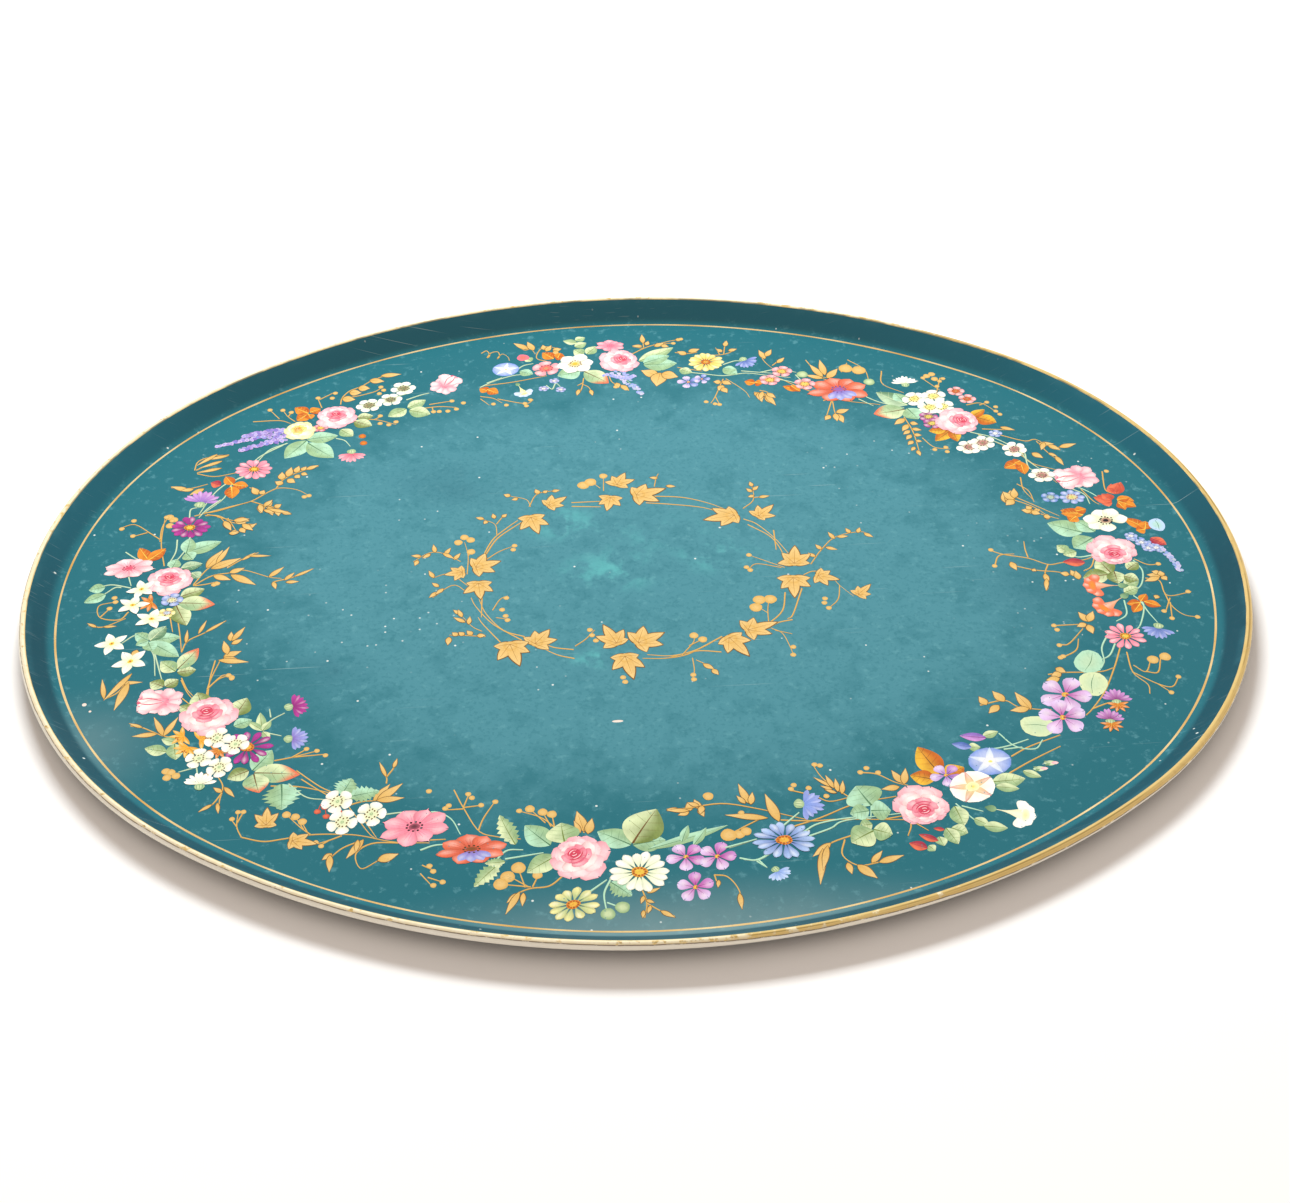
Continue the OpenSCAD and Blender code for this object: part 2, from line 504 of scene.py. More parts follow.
def paint_code(code):
    """A linear colour from a six-figure paint code."""
    parts = [int(code[k:k + 2], 16) / 255 for k in (0, 2, 4)]
    return np.array([c / 12.92 if c <= 0.04045 else ((c + 0.055) / 1.055) ** 2.4 for c in parts])


PAINT = {
    "white": "fbf8ef", "cream": "f3ecc8", "butter": "efe39a", "lemon": "e9d35a", "gold_yellow": "e3b23a",
    "orange": "e08a2c", "burnt": "b8571e", "coral": "e2704f", "brick": "b94a38", "blush": "fbdcdd",
    "pink": "f4a2b0", "rose": "e4708a", "deep_rose": "cc4660", "crimson": "962544", "magenta": "b03a92",
    "plum": "7c2468", "mauve": "c98fcf", "lilac": "d9c3ea", "violet": "7f62b4", "lavender": "93a0dc",
    "blue": "6f8fd8", "deep_blue": "4562a8", "sky": "b5cdf2", "leaf": "8fb083", "leaf_pale": "d3dfb0",
    "leaf_deep": "4f7a5a", "sage": "b7d0ac", "mint": "aad6b8", "olive": "9a9c5c",
    "moss": "6d7f3c", "umber": "6a4a26", "brown": "8a6234", "black": "1c1a20", "red": "cc3a34",
    "leaf_gold": "e2b460", "gold_light": "efcd8a", "gold_dark": "b58440", "coral_rose": "c4384c",
    "fern": "88a878",
}
PAINT = {name: paint_code(code) for name, code in PAINT.items()}


def mixed(first, second, share):
    """One colour between two, each given by name or as a colour."""
    first, second = (PAINT[c] if isinstance(c, str) else np.asarray(c) for c in (first, second))
    return first + (second - first) * share


def graded(first, last, share):
    """Colours from the first to the last, with the share given point by point."""
    start = mixed(first, last, 0)
    return start + (mixed(first, last, 1) - start) * share[..., None]


def spoke(angle, *reaches):
    """Points straight out from the middle at an angle in degrees, one for each reach."""
    a = math.radians(angle)
    return [(far * math.cos(a), far * math.sin(a)) for far in reaches]


def colour_points(made, shades):
    """Gives each point of a painted skin its colour."""
    paint = made.data.color_attributes.new("paint", "FLOAT_COLOR", "POINT")
    paint.data.foreach_set("color", np.column_stack([shades, np.ones(len(shades))]).ravel())


def smooth_run(points, count):
    """A smooth curve through the points."""
    p = np.asarray(points, float)
    if len(p) == 2:
        return p[0] + (p[1] - p[0]) * np.linspace(0, 1, count)[:, None]
    p = np.vstack([2 * p[0] - p[1], p, 2 * p[-1] - p[-2]])
    at = np.linspace(0, len(p) - 3 - 1e-9, count)
    k = at.astype(int)
    t = (at - k)[:, None]
    a, b, c, d = p[k], p[k + 1], p[k + 2], p[k + 3]
    square, cube = 2 * a - 5 * b + 4 * c - d, 3 * b - a - 3 * c + d
    return 0.5 * (2 * b + (c - a) * t + square * t ** 2 + cube * t ** 3)


class Coat:
    """Brush strokes laid one over another, gathered into one skin of paint."""

    def __init__(self):
        self.points, self.tones, self.faces = [], [], []
        self.count = 0

    @staticmethod
    def lift(flat):
        """The height of a new stroke: just above whatever paint already lies under it."""
        low = ((flat.min(0) + (HALF_LENGTH, HALF_WIDTH)) / CELL).astype(int)
        high = ((flat.max(0) + (HALF_LENGTH, HALF_WIDTH)) / CELL).astype(int) + 1
        patch = laid[low[0]:high[0], low[1]:high[1]]
        patch[:] = patch.max() + LAYER
        return patch[0, 0]

    def skin(self, rows, tones, ring=False):
        """Adds rows of points, each with a colour. A ring closes on itself and is filled inside."""
        down, across = rows.shape[:2]
        flat = rows.reshape(-1, 2)
        shades = np.clip(tones.reshape(-1, 3), 0.002, 0.98)
        index = self.count + np.arange(down * across).reshape(down, across)
        if ring:
            index = np.column_stack([index, index[:, :1]])
        quads = np.stack([index[:-1, :-1], index[:-1, 1:], index[1:, 1:], index[1:, :-1]], -1)
        quads = quads.reshape(-1, 4)
        faces = quads.tolist()
        if ring:
            middle = self.count + len(flat)
            flat = np.vstack([flat, flat[:across].mean(0)])
            shades = np.vstack([shades, shades[:across].mean(0)])
            inner = zip(index[0, :-1].tolist(), index[0, 1:].tolist())
            faces += [[middle, b, a] for a, b in inner]
        corner = flat[quads - self.count]
        one, two = corner[:, 2] - corner[:, 0], corner[:, 3] - corner[:, 1]
        if (one[:, 0] * two[:, 1] - one[:, 1] * two[:, 0]).sum() < 0:
            faces = [face[::-1] for face in faces]
        self.points.append(np.column_stack([flat, np.full(len(flat), SHEET + self.lift(flat))]))
        self.tones.append(shades)
        self.faces += faces
        self.count += len(flat)

    def dried(self, name, finish):
        """The finished skin as an object."""
        made = build_mesh(name, np.concatenate(self.points), self.faces)
        colour_points(made, np.concatenate(self.tones))
        made.data.materials.append(finish)
        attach(made, "root")


class Brush:
    """Paints one motif in millimetres from its own middle, turned in degrees and set on the tray."""

    def __init__(self, coat, x, y, turn=0.0, squash=1.0):
        self.coat, self.at = coat, np.array([x, y], float)
        c, s = math.cos(math.radians(turn)), math.sin(math.radians(turn))
        self.turn = np.array([[c, s], [-s * squash, c * squash]])

    def lay(self, rows, tones, ring=False):
        """Puts one stroke on the coat, in the motif's place and turn."""
        self.coat.skin(self.at + rows @ self.turn, tones, ring)

    def petal(self, angle, start, length, width, inner, outer, fullest=0.62, notch=0.0, bend=0.0,
              light=0.0, shade=0.10, streak=0.05, square=0.8):
        """A petal that grows from near the middle, at an angle in degrees."""
        s = np.linspace(0, 1, 9)[:, None]
        t = np.linspace(-1, 1, 7)[None, :]
        power = math.log(0.5) / math.log(fullest)
        half = 0.5 * width * np.maximum(np.sin(math.pi * s ** power), 0.0) ** square
        half = np.maximum(half, 0.03 * width)
        reach = start + length * (s - notch * (1 - t ** 2) * s ** 6)
        side = half * t + bend * length * s ** 2
        a = math.radians(angle)
        c, d = math.cos(a), math.sin(a)
        rows = np.stack([reach * c - side * d, reach * d + side * c], -1)
        tones = graded(inner, outer, s ** 0.9) * (1 + shade * (0.4 - t ** 2)[..., None])
        streaks = np.array([rng.uniform(-streak, streak) for _ in range(7)])
        tones = tones * (1 + streaks[None, :, None])
        glow = light * np.exp(-((s - 0.7) / 0.22) ** 2) * np.exp(-((t + 0.25) / 0.45) ** 2)
        tones = tones + (PAINT["white"] - tones) * glow[..., None]
        self.lay(rows, tones)

    def dab(self, x, y, across, along, turn, inner, outer, shift=(0, 0), rough=0.05, power=1.0):
        """A round touch of the brush, its middle colour shifted to one side."""
        rings = np.array([0.3, 0.62, 0.86, 1.0])[:, None]
        a = np.linspace(0, 2 * math.pi, 17)[None, :-1]
        start = rng.uniform(0, 6.28)
        edge = 1 + rough * (np.sin(3 * a + start) + 0.6 * np.sin(5 * a + 2 * start))
        px = rings * edge * across / 2 * np.cos(a) + shift[0] * (1 - rings)
        py = rings * edge * along / 2 * np.sin(a) + shift[1] * (1 - rings)
        c, s = math.cos(math.radians(turn)), math.sin(math.radians(turn))
        rows = np.stack([x + px * c - py * s, y + px * s + py * c], -1)
        self.lay(rows, graded(inner, outer, rings ** power + 0 * a), ring=True)

    def line(self, points, widths, first, last=None):
        """A stroke along a smooth run of points, its width and colour changing along it."""
        count = max(8, 4 * len(points))
        run = smooth_run(points, count)
        ahead = np.gradient(run, axis=0)
        ahead /= np.maximum(np.linalg.norm(ahead, axis=1, keepdims=True), 1e-9)
        normal = np.column_stack([-ahead[:, 1], ahead[:, 0]])
        width = np.interp(np.linspace(0, 1, count), np.linspace(0, 1, len(widths)), widths)
        t = np.array([-0.5, 0.0, 0.5])
        rows = run[:, None, :] + normal[:, None, :] * (width[:, None] * t)[..., None]
        last = first if last is None else last
        tones = graded(first, last, np.linspace(0, 1, count)[:, None])
        self.lay(rows, tones * (1 + 0.12 * np.array([-1.0, 0.4, 0.5]))[None, :, None])

    def sickle(self, radius, start, to, thick, inner, outer, middle=(0, 0), flat=1.0):
        """A tapering curved touch round a middle, as on the turned lip of a petal."""
        a = np.radians(np.linspace(start, to, 11))[:, None]
        swell = np.sin(np.linspace(0, math.pi, 11))[:, None] ** 0.7
        t = np.linspace(-0.5, 0.5, 4)[None, :]
        r = radius + thick * t * swell
        rows = np.stack([middle[0] + r * np.cos(a), middle[1] + flat * r * np.sin(a)], -1)
        self.lay(rows, graded(inner, outer, t + 0.5 + 0 * a))

    def leaf(self, x, y, angle, length, width, dark, light, vein, tip=None, bend=0.0, teeth=0.0,
             veins=4):
        """A leaf from its stalk end, one half in shade, with a midrib and side veins."""
        s = np.linspace(0, 1, 15)[:, None]
        t = np.linspace(-1, 1, 7)[None, :]
        power = math.log(0.5) / math.log(LEAF_FULLEST)
        half = 0.5 * width * np.maximum(np.sin(math.pi * s ** power), 0) ** 0.85
        half = half * (1 + teeth * np.where(np.arange(15) % 2, 1, -1)[:, None] * np.abs(t) ** 4)
        half = np.maximum(half, 0.02 * width)
        a = math.radians(angle)
        c, n = np.array([math.cos(a), math.sin(a)]), np.array([-math.sin(a), math.cos(a)])

        def spine(u, v):
            across = v + bend * length * u ** 2
            return np.array([x, y]) + c * (u * length)[..., None] + n * across[..., None]

        rows = spine(s + 0 * t, half * t)
        side = np.clip(0.5 + 0.9 * t, 0, 1) * 0.85 + 0.15 * s
        tones = graded(dark, light, side) * (1 + 0.10 * np.sin(11 * s + 3 * np.abs(t)))[..., None]
        if tip is not None:
            turned = np.clip((s + 0.25 * np.abs(t) - 0.72) / 0.3, 0, 1)
            tones = tones + (PAINT[tip] - tones) * turned[..., None]
        self.lay(rows, tones)
        u = np.linspace(0, 0.96, 7)
        self.line(spine(u, 0 * u), [0.05 * width + 0.15, 0.12], vein)
        for k in range(veins):
            at = 0.18 + 0.62 * k / max(1, veins - 1)
            out = 0.5 * width * math.sin(math.pi * at ** power) ** 0.85 * 0.8
            for way in (-1, 1):
                u = np.array([at, at + 0.07, at + 0.13])
                v = np.array([0, way * out * 0.55, way * out])
                self.line(spine(u, v), [0.14, 0.20, 0.08], mixed(dark, vein, 0.72 if way < 0 else 0.25))

    def dots(self, places, size, inner, outer):
        """Round dots of one size."""
        for x, y in places:
            self.dab(x, y, size, size, 0, inner, outer, rough=0.03)


# ------------ flowers
# A rose's colours from its heart outwards, ending with its highlights.
ROSE = ("coral_rose", "deep_rose", "rose", "pink", "blush", "white")
YELLOW_ROSE = ("burnt", "gold_yellow", "lemon", "butter", "cream", "white")


def rose(coat, x, y, size, turn=0, colours=ROSE):
    """A full-blown cabbage rose whose dark heart lies towards the side it is turned to."""
    heart, deep, mid, fair, pale, white = colours
    squash, off = 0.95, 0.32
    b, r = Brush(coat, x, y, turn, squash), size / 2
    heart_at = Brush(coat, *(b.at + np.array([0, off * r]) @ b.turn), turn, squash)
    # Each ring of petals: how many, reach, width, colours at root and lip, and how much light.
    rings = (
        (8, 1.0, 0.80, mid, mixed(fair, pale, 0.3), 0.45),
        (8, 0.84, 0.66, mid, mixed(fair, pale, 0.7), 0.6),
        (6, 0.67, 0.62, deep, mixed(pale, white, 0.3), 0.8),
        (6, 0.50, 0.48, deep, mixed(mid, fair, 0.7), 0.45),
        (5, 0.36, 0.36, heart, mixed(mid, fair, 0.4), 0.15),
        (4, 0.22, 0.22, heart, deep, 0.0),
    )
    for ring, (count, share, wide, inner, outer, glow) in enumerate(rings):
        angles = [360 * (k + 0.37 * ring) / count for k in range(count)]
        for angle in sorted(angles, key=lambda a: -math.sin(math.radians(a))):
            angle += rng.uniform(-7, 7)
            away = math.sin(math.radians(angle))
            far = (math.sqrt(1 - 0.1 * (1 - away ** 2)) - off * away) * share * rng.uniform(0.93, 1.04)
            lit = glow * (0.35 - 0.65 * away)
            heart_at.petal(angle, 0.0, far * r, wide * r * (1.0 - 0.25 * away), inner, outer,
                           fullest=0.74, notch=rng.uniform(0.02, 0.10), light=max(0.0, lit),
                           shade=0.26, streak=0.06, square=0.55)
    for radius, start, to in ((0.30, 200, 330), (0.22, 20, 170), (0.15, 160, 330), (0.09, -20, 150)):
        heart_at.sickle(radius * r, start, to, 0.07 * r, heart, deep, (0, 0), 0.8)
        heart_at.sickle((radius - 0.05) * r, start + 20, to - 20, 0.05 * r, fair, pale, (0, 0), 0.8)
    heart_at.sickle(0.44 * r, 205, 335, 0.05 * r, deep, mid, (0, 0), 0.9)


def rosebud(coat, x, y, size, turn=0):
    """A half-open rose seen from the side, opening along its turn."""
    heart, deep, mid, fair, pale, white = ROSE
    b, r = Brush(coat, x, y, turn), size / 2
    behind = ((180, 0.84, 0.5), (150, 0.92, 0.46), (-150, 0.92, 0.46), (118, 0.80, 0.5), (-118, 0.80, 0.5),
              (62, 0.66, 0.6), (-62, 0.66, 0.6), (36, 0.92, 0.62), (-36, 0.92, 0.62))
    for angle, far, wide in behind:
        b.petal(angle, 0.0, far * r, wide * r, mid, mixed(fair, pale, rng.uniform(0.2, 1)),
                fullest=0.74, notch=0.10, light=0.45, shade=0.25, square=0.62)
    b.dab(0.24 * r, 0, 1.2 * r, 0.96 * r, 0, deep, fair, power=1.3)
    b.dab(0.52 * r, 0.04 * r, 0.60 * r, 0.58 * r, 0, heart, mid)
    for angle, wide in ((14, 0.34), (-30, 0.56), (-4, 0.40), (30, 0.60)):
        b.petal(angle, -0.35 * r, 1.16 * r, wide * r, mid, mixed(pale, white, 0.4), fullest=0.60,
                light=0.9, shade=0.25, square=0.75)
    for side in (-1, 1):
        fold = [(-0.1 * r, 0.04 * side * r), (0.4 * r, 0.16 * side * r), (0.86 * r, 0.06 * side * r)]
        b.line(fold, [0.3, 0.8, 0.2], deep)


def daisy(coat, x, y, size, turn=0, inner="rose", outer="blush", heart="gold_yellow", count=15,
          squash=0.8, thin=0.30):
    """A daisy with a dotted heart, tipped a little away."""
    b, r = Brush(coat, x, y, turn, squash), size / 2
    for k in range(count):
        angle = 360 * k / count + rng.uniform(-5, 5)
        far = rng.uniform(0.72, 0.86) * r
        b.petal(angle, 0.14 * r, far, thin * r, inner, mixed(outer, inner, rng.uniform(0, 0.3)),
                fullest=0.72, notch=0.08, light=0.4 * (k % 2), shade=0.34, streak=0.10, square=0.66)
        b.line(spoke(angle, 0.24 * r, 0.8 * far), [0.35, 0.1], mixed(inner, outer, 0.35))
    middle, rim = mixed(heart, "lemon", 0.5), mixed(heart, "burnt", 0.45)
    b.dab(0, 0, 0.52 * r, 0.48 * r, 0, middle, rim, power=1.6)
    for k in range(11):
        a = 2 * math.pi * k / 11
        b.dab(0.19 * math.cos(a) * r, 0.17 * math.sin(a) * r, 0.085 * r, 0.085 * r, 0,
              "burnt" if k % 2 else "umber", "burnt")
    b.dab(-0.05 * r, 0.05 * r, 0.16 * r, 0.12 * r, 0, "lemon", heart)


def half_daisy(coat, x, y, size, turn=0, inner="plum", outer="magenta"):
    """A daisy from the side on its green cup, its petals fanned along its turn."""
    b, r = Brush(coat, x, y, turn), size / 2
    for k in range(9):
        angle = -76 + 19 * k + rng.uniform(-4, 4)
        far = (0.95 + rng.uniform(-0.08, 0.08)) * r
        b.petal(angle, 0.0, far, 0.26 * r, inner, outer, fullest=0.72, light=0.25 if k % 2 else 0,
                square=0.6, streak=0.12)
    b.dab(-0.18 * r, 0, 0.50 * r, 0.60 * r, 0, "leaf_pale", "leaf", shift=(0, 0.08 * r))
    for y_at in (-0.14, 0.0, 0.14):
        b.line([(-0.36 * r, y_at * r), (0.0, y_at * 1.3 * r)], [0.12, 0.3, 0.12], "leaf_deep")


def anemone(coat, x, y, size, turn=0, heart="lemon", petals=("cream", "white"), eye=None,
            count=6, squash=0.85):
    """Broad white petals shaded to green at the root, with a ring of stamens."""
    b, r = Brush(coat, x, y, turn, squash), size / 2
    for layer in (0, 1):
        for k in range(count // 2):
            angle = 360 * (2 * k + layer) / count + rng.uniform(-5, 5)
            b.petal(angle, 0.06 * r, rng.uniform(0.84, 1.0) * r, 0.76 * r,
                    mixed(petals[0], "leaf_pale", 0.55), petals[1], fullest=0.62, notch=0.02,
                    light=0.5, shade=0.34, streak=0.05, square=0.74)
            for off in (-14, 0, 14):
                b.line(spoke(angle + off, 0.25 * r, 0.66 * r), [0.3, 0.12], mixed(petals[0], "sage", 0.7))
    b.dab(0, 0, 0.5 * r, 0.46 * r, 0, heart, mixed(heart, "leaf_pale", 0.5))
    for k in range(14):
        a, far = 2 * math.pi * k / 14, rng.uniform(0.24, 0.34)
        b.dab(far * r * math.cos(a), far * r * math.sin(a), 0.09 * r, 0.09 * r, 0,
              eye or "burnt", eye or "umber")
    b.dab(0, 0, 0.24 * r, 0.22 * r, 0, eye or "gold_yellow", eye or heart)


def blossom(coat, x, y, size, turn=0, petal="white", root="cream", heart="lemon", eye="umber", count=5):
    """A small open blossom, five-petalled unless another count is given."""
    b, r = Brush(coat, x, y, turn, 0.88), size / 2
    for k in range(count):
        b.petal(360 * k / count + rng.uniform(-5, 5), 0.12 * r, rng.uniform(0.80, 0.90) * r,
                4.2 * r / count, mixed(root, "fern", 0.4), petal,
                fullest=0.68, notch=0.10, light=0.45, shade=0.22, streak=0.04, square=0.60)
    b.dab(0, 0, 0.92 * r, 0.84 * r, 0, heart, mixed(heart, root, 0.6), power=1.3)
    for k in range(11):
        a, far = 2 * math.pi * k / 11 + 0.3, rng.uniform(0.26, 0.44)
        b.dab(far * r * math.cos(a), far * r * math.sin(a), 0.13 * r, 0.10 * r, 0, eye, eye)
    b.dab(0, 0, 0.22 * r, 0.20 * r, 0, heart, "fern")


def star_flower(coat, x, y, size, turn=0):
    """A white star with pointed petals and a yellow throat."""
    b, r = Brush(coat, x, y, turn, 0.85), size / 2
    for k in range(5):
        angle = 72 * k + rng.uniform(-6, 6)
        b.petal(angle, 0.02 * r, 0.98 * r, 0.56 * r, "leaf_pale", "white", fullest=0.42, light=0.7,
                shade=0.2)
        b.line(spoke(angle, 0.1 * r, 0.8 * r), [0.4, 0.1], mixed("butter", "leaf_pale", 0.5))
    b.dab(0, 0, 0.32 * r, 0.30 * r, 0, "gold_yellow", "lemon")
    b.dab(0, 0, 0.12 * r, 0.12 * r, 0, "burnt", "burnt")


def poppy(coat, x, y, size, turn=0, inner="deep_rose", outer="pink", heart="crimson", squash=0.72,
          blue=False):
    """A loose bloom seen a little from the side, its petals ragged and streaked like a fan."""
    b, r = Brush(coat, x, y, turn, squash), size / 2
    petals = ((100, 0.92, 0.80), (56, 0.86, 0.62), (150, 1.02, 0.66), (16, 1.06, 0.66),
              (192, 1.10, 0.52), (-24, 1.04, 0.60), (-66, 0.86, 0.62), (-122, 0.92, 0.66))
    for angle, far, wide in petals:
        far *= rng.uniform(0.92, 1.06)
        b.petal(angle, 0.02 * r, far * r, wide * r, inner, mixed(outer, inner, rng.uniform(0, 0.35)),
                fullest=0.66, notch=rng.uniform(-0.10, 0.12), bend=rng.uniform(-0.08, 0.08),
                light=0.30, shade=0.3, streak=0.12, square=0.72)
        for off in (-16, -6, 6, 16):
            vein = mixed(inner, outer, 0.2 if off % 16 else 0.6)
            b.line(spoke(angle + off, 0.2 * r, 0.72 * far * r), [0.5, 0.12], vein)
    if blue:
        for angle in (-122, -92, -62, -40):
            b.petal(angle, 0.05 * r, 0.70 * r, 0.36 * r, "violet", "lavender", fullest=0.6, light=0.3)
    b.dab(0, 0.04 * r, 0.36 * r, 0.30 * r, 0, heart, mixed(heart, inner, 0.5))
    for k in range(10):
        a = 2 * math.pi * k / 10
        b.dab(0.24 * r * math.cos(a), 0.04 * r + 0.22 * r * math.sin(a), 0.08 * r, 0.08 * r, 0,
              "black", heart)


def morning_glory(coat, x, y, size, turn=0, outer="blue", throat="white", rib="sky"):
    """A funnel flower from the front: one ruffled disc with a pale star down its throat."""
    b, r = Brush(coat, x, y, turn, 0.86), size / 2
    for k in range(5):
        b.petal(72 * k + 36, 0.0, 0.97 * r, 1.12 * r, mixed(outer, throat, 0.6), outer,
                fullest=0.74, notch=0.03, light=0.15, shade=0.10, square=0.55, streak=0.08)
    for k in range(5):
        b.petal(72 * k, 0.0, 0.98 * r, 0.34 * r, throat, mixed(rib, outer, 0.25), fullest=0.30,
                light=0.35)
    b.dab(0, 0, 0.62 * r, 0.56 * r, 0, throat, mixed(throat, outer, 0.35), power=1.8)
    b.dab(0.02 * r, -0.02 * r, 0.20 * r, 0.18 * r, 0, "lemon", "butter")


def trumpet(coat, x, y, size, turn=0, lip="sky", tube="cream", throat="lemon"):
    """A trumpet flower from the side, opening along its turn."""
    b, r = Brush(coat, x, y, turn), size / 2
    b.petal(0, -0.95 * r, 1.5 * r, 0.62 * r, mixed(tube, "leaf_pale", 0.6), tube, fullest=0.82,
            light=0.35)
    for angle in (70, 35, 0, -35, -70):
        b.petal(angle, 0.22 * r, 0.52 * r, 0.50 * r, mixed(lip, tube, 0.3), lip, fullest=0.62,
                light=0.45, square=0.6)
    b.dab(0.34 * r, 0, 0.30 * r, 0.62 * r, 0, throat, mixed(lip, throat, 0.4))
    b.petal(180, 0.72 * r, 0.45 * r, 0.34 * r, "leaf", "leaf_deep", fullest=0.4)


def lily(coat, x, y, size, turn=0, inner="burnt", outer="orange"):
    """Narrow curling petals fanned along the turn."""
    b, r = Brush(coat, x, y, turn), size / 2
    petals = ((80, 0.9, 0.3), (-80, 0.9, -0.3), (45, 1.0, 0.2), (-45, 1.0, -0.2), (15, 1.05, 0.1),
              (-15, 1.05, -0.1))
    for angle, far, bend in petals:
        b.petal(angle, 0.0, far * r, 0.34 * r, inner, outer, fullest=0.5, bend=bend, light=0.3,
                streak=0.12)
        b.line(spoke(angle, 0, 0.7 * far * r), [0.3, 0.1], mixed(outer, "lemon", 0.6))
    b.dots([(0.5 * r, 0.16 * r), (0.56 * r, -0.1 * r), (0.45 * r, 0.0)], 0.12 * r, "umber", "burnt")


def violet(coat, x, y, size, turn=0, inner="magenta", outer="mauve"):
    """Five loose petals of two purples round a yellow eye."""
    b, r = Brush(coat, x, y, turn, 0.9), size / 2
    for k, angle in enumerate((100, 30, 170, -45, -110)):
        first, last = (inner, outer) if k % 2 else (mixed(inner, outer, 0.35), "lilac")
        b.petal(angle, 0.04 * r, 0.94 * r, 0.66 * r, first, last, fullest=0.70, notch=0.16,
                light=0.35, streak=0.12, square=0.6)
        b.line(spoke(angle, 0.15 * r, 0.6 * r), [0.35, 0.1], "plum")
    b.dab(0, 0, 0.26 * r, 0.24 * r, 0, "lemon", "orange")
    b.dab(0.03 * r, -0.06 * r, 0.10 * r, 0.10 * r, 0, "burnt", "plum")


def spike(coat, points, first="violet", last="lavender", size=3.0, count=16, spread=1.6):
    """A spike of little florets along a curved stalk."""
    b = Brush(coat, 0, 0)
    b.line(points, [0.6, 0.3], "leaf", "sage")
    run = smooth_run(points, count)
    for k, (x, y) in enumerate(run):
        wide = spread * (1.15 - 0.8 * k / count)
        for side in (-1, 1):
            b.dab(x + side * wide * rng.uniform(0.4, 1), y + wide * rng.uniform(-0.8, 0.8),
                  size * rng.uniform(0.6, 1.0), size * rng.uniform(0.4, 0.7), rng.uniform(0, 180),
                  mixed(first, last, rng.random()), mixed(first, "lilac", rng.random()))


def bud(coat, x, y, size, turn=0, first="leaf", last="leaf_pale", tip=None):
    """A small closed bud pointing along its turn."""
    b, r = Brush(coat, x, y, turn), size / 2
    b.petal(0, -r, 2 * r, 1.0 * r, first, last, fullest=0.5, light=0.35)
    if tip:
        b.petal(0, 0.1 * r, 1.1 * r, 0.62 * r, tip, mixed(tip, "white", 0.35), fullest=0.55, light=0.3)
    b.petal(28, -r, 1.1 * r, 0.42 * r, "leaf_deep", "leaf", fullest=0.5)
    b.petal(-28, -r, 1.1 * r, 0.42 * r, "leaf_deep", "leaf_pale", fullest=0.5)


def berries(coat, places, size, inner, outer, foot):
    """Lit berries on bowed stalks that spring from one foot."""
    b = Brush(coat, 0, 0)
    for x, y in places:
        bow = ((x + foot[0]) / 2 + 0.12 * (y - foot[1]), (y + foot[1]) / 2 - 0.12 * (x - foot[0]))
        b.line([foot, bow, (x, y)], [0.7, 0.45], outer)
    for x, y in places:
        b.dab(x, y, size, size * 0.92, 0, inner, outer, shift=(-0.1 * size, 0.12 * size), power=1.5)


def ivy(coat, x, y, size, turn):
    """A gold five-pointed leaf, its points unequal, with a dark edge and dark veins."""
    b, r = Brush(coat, x, y, turn), size / 2
    tips = [(0, 1.10), (46, 0.86), (-46, 0.86), (100, 0.66), (-100, 0.66)]
    tips = [(angle + rng.uniform(-7, 7), far * rng.uniform(0.88, 1.12)) for angle, far in tips]
    for angle, far in reversed(tips):
        b.petal(angle, -0.16 * r, far * r * 1.16, 0.52 * r, "umber", "brown", fullest=0.42, streak=0.0)
    for angle, far in reversed(tips):
        b.petal(angle, -0.12 * r, far * r * 1.06, 0.44 * r, "leaf_gold", "gold_light", fullest=0.42,
                streak=0.05, shade=0.04)
    b.dab(0, 0, 0.50 * r, 0.50 * r, 0, "gold_light", "leaf_gold", rough=0.02)
    for angle, far in tips:
        b.line([(-0.1 * r, 0), *spoke(angle, 0.75 * far * r)], [0.4, 0.15], "gold_dark")


def painted_finish():
    """Opaque paint with the drag of the brush in it and small losses down to the teal."""
    f = Finish("flower_paint")
    paint = f.attribute("paint", "Color")
    drag = f.noise(900.0, 3.0, 0.6, (1, 0.35, 1))
    soft = f.noise(240.0, 3.0)
    colour = f.blend(f.ramp(drag, 0.35, 0.75) * 0.22, paint, (0.95, 0.93, 0.88, 1), "SOFT_LIGHT")
    colour = f.blend(f.ramp(soft, 0.55, 0.75) * 0.18, colour, (0.30, 0.36, 0.34, 1), "MULTIPLY")
    lost = speckle(f, 330.0, 0.05, 0.16)
    # Losses show the teal with its painted sheen.
    colour = f.blend(lost * 0.8, colour, TEAL_SHEEN)
    return f.finished(
        Base_Color=colour,
        Roughness=(0.38 + 0.16 * drag).clamped(),
        Specular_IOR_Level=0.42,
        Normal=f.bump(drag * 0.6 + soft * 0.4, 0.05 * MM, 0.6),
    )


def gold_finish():
    """Shell gold brushed on thin: warm, a little uneven and rubbed in places."""
    f = Finish("brushed_gold")
    paint = f.attribute("paint", "Color")
    drag = f.noise(700.0, 3.0, 0.6)
    patchy = f.noise(60.0, 3.0)
    colour = f.blend(f.ramp(drag, 0.45, 0.8) * 0.22, paint, (0.36, 0.23, 0.08, 1))
    rubbed = f.ramp(drag * 0.5 + patchy * 0.5, 0.60, 0.70)
    colour = f.blend(rubbed * 0.30, colour, (0.20, 0.22, 0.14, 1))
    return f.finished(
        Base_Color=colour,
        Roughness=(0.40 + 0.2 * drag + 0.15 * rubbed).clamped(),
        Metallic=(0.22 - 0.2 * rubbed).clamped(),
        Normal=f.bump(drag, 0.04 * MM, 0.6),
    )


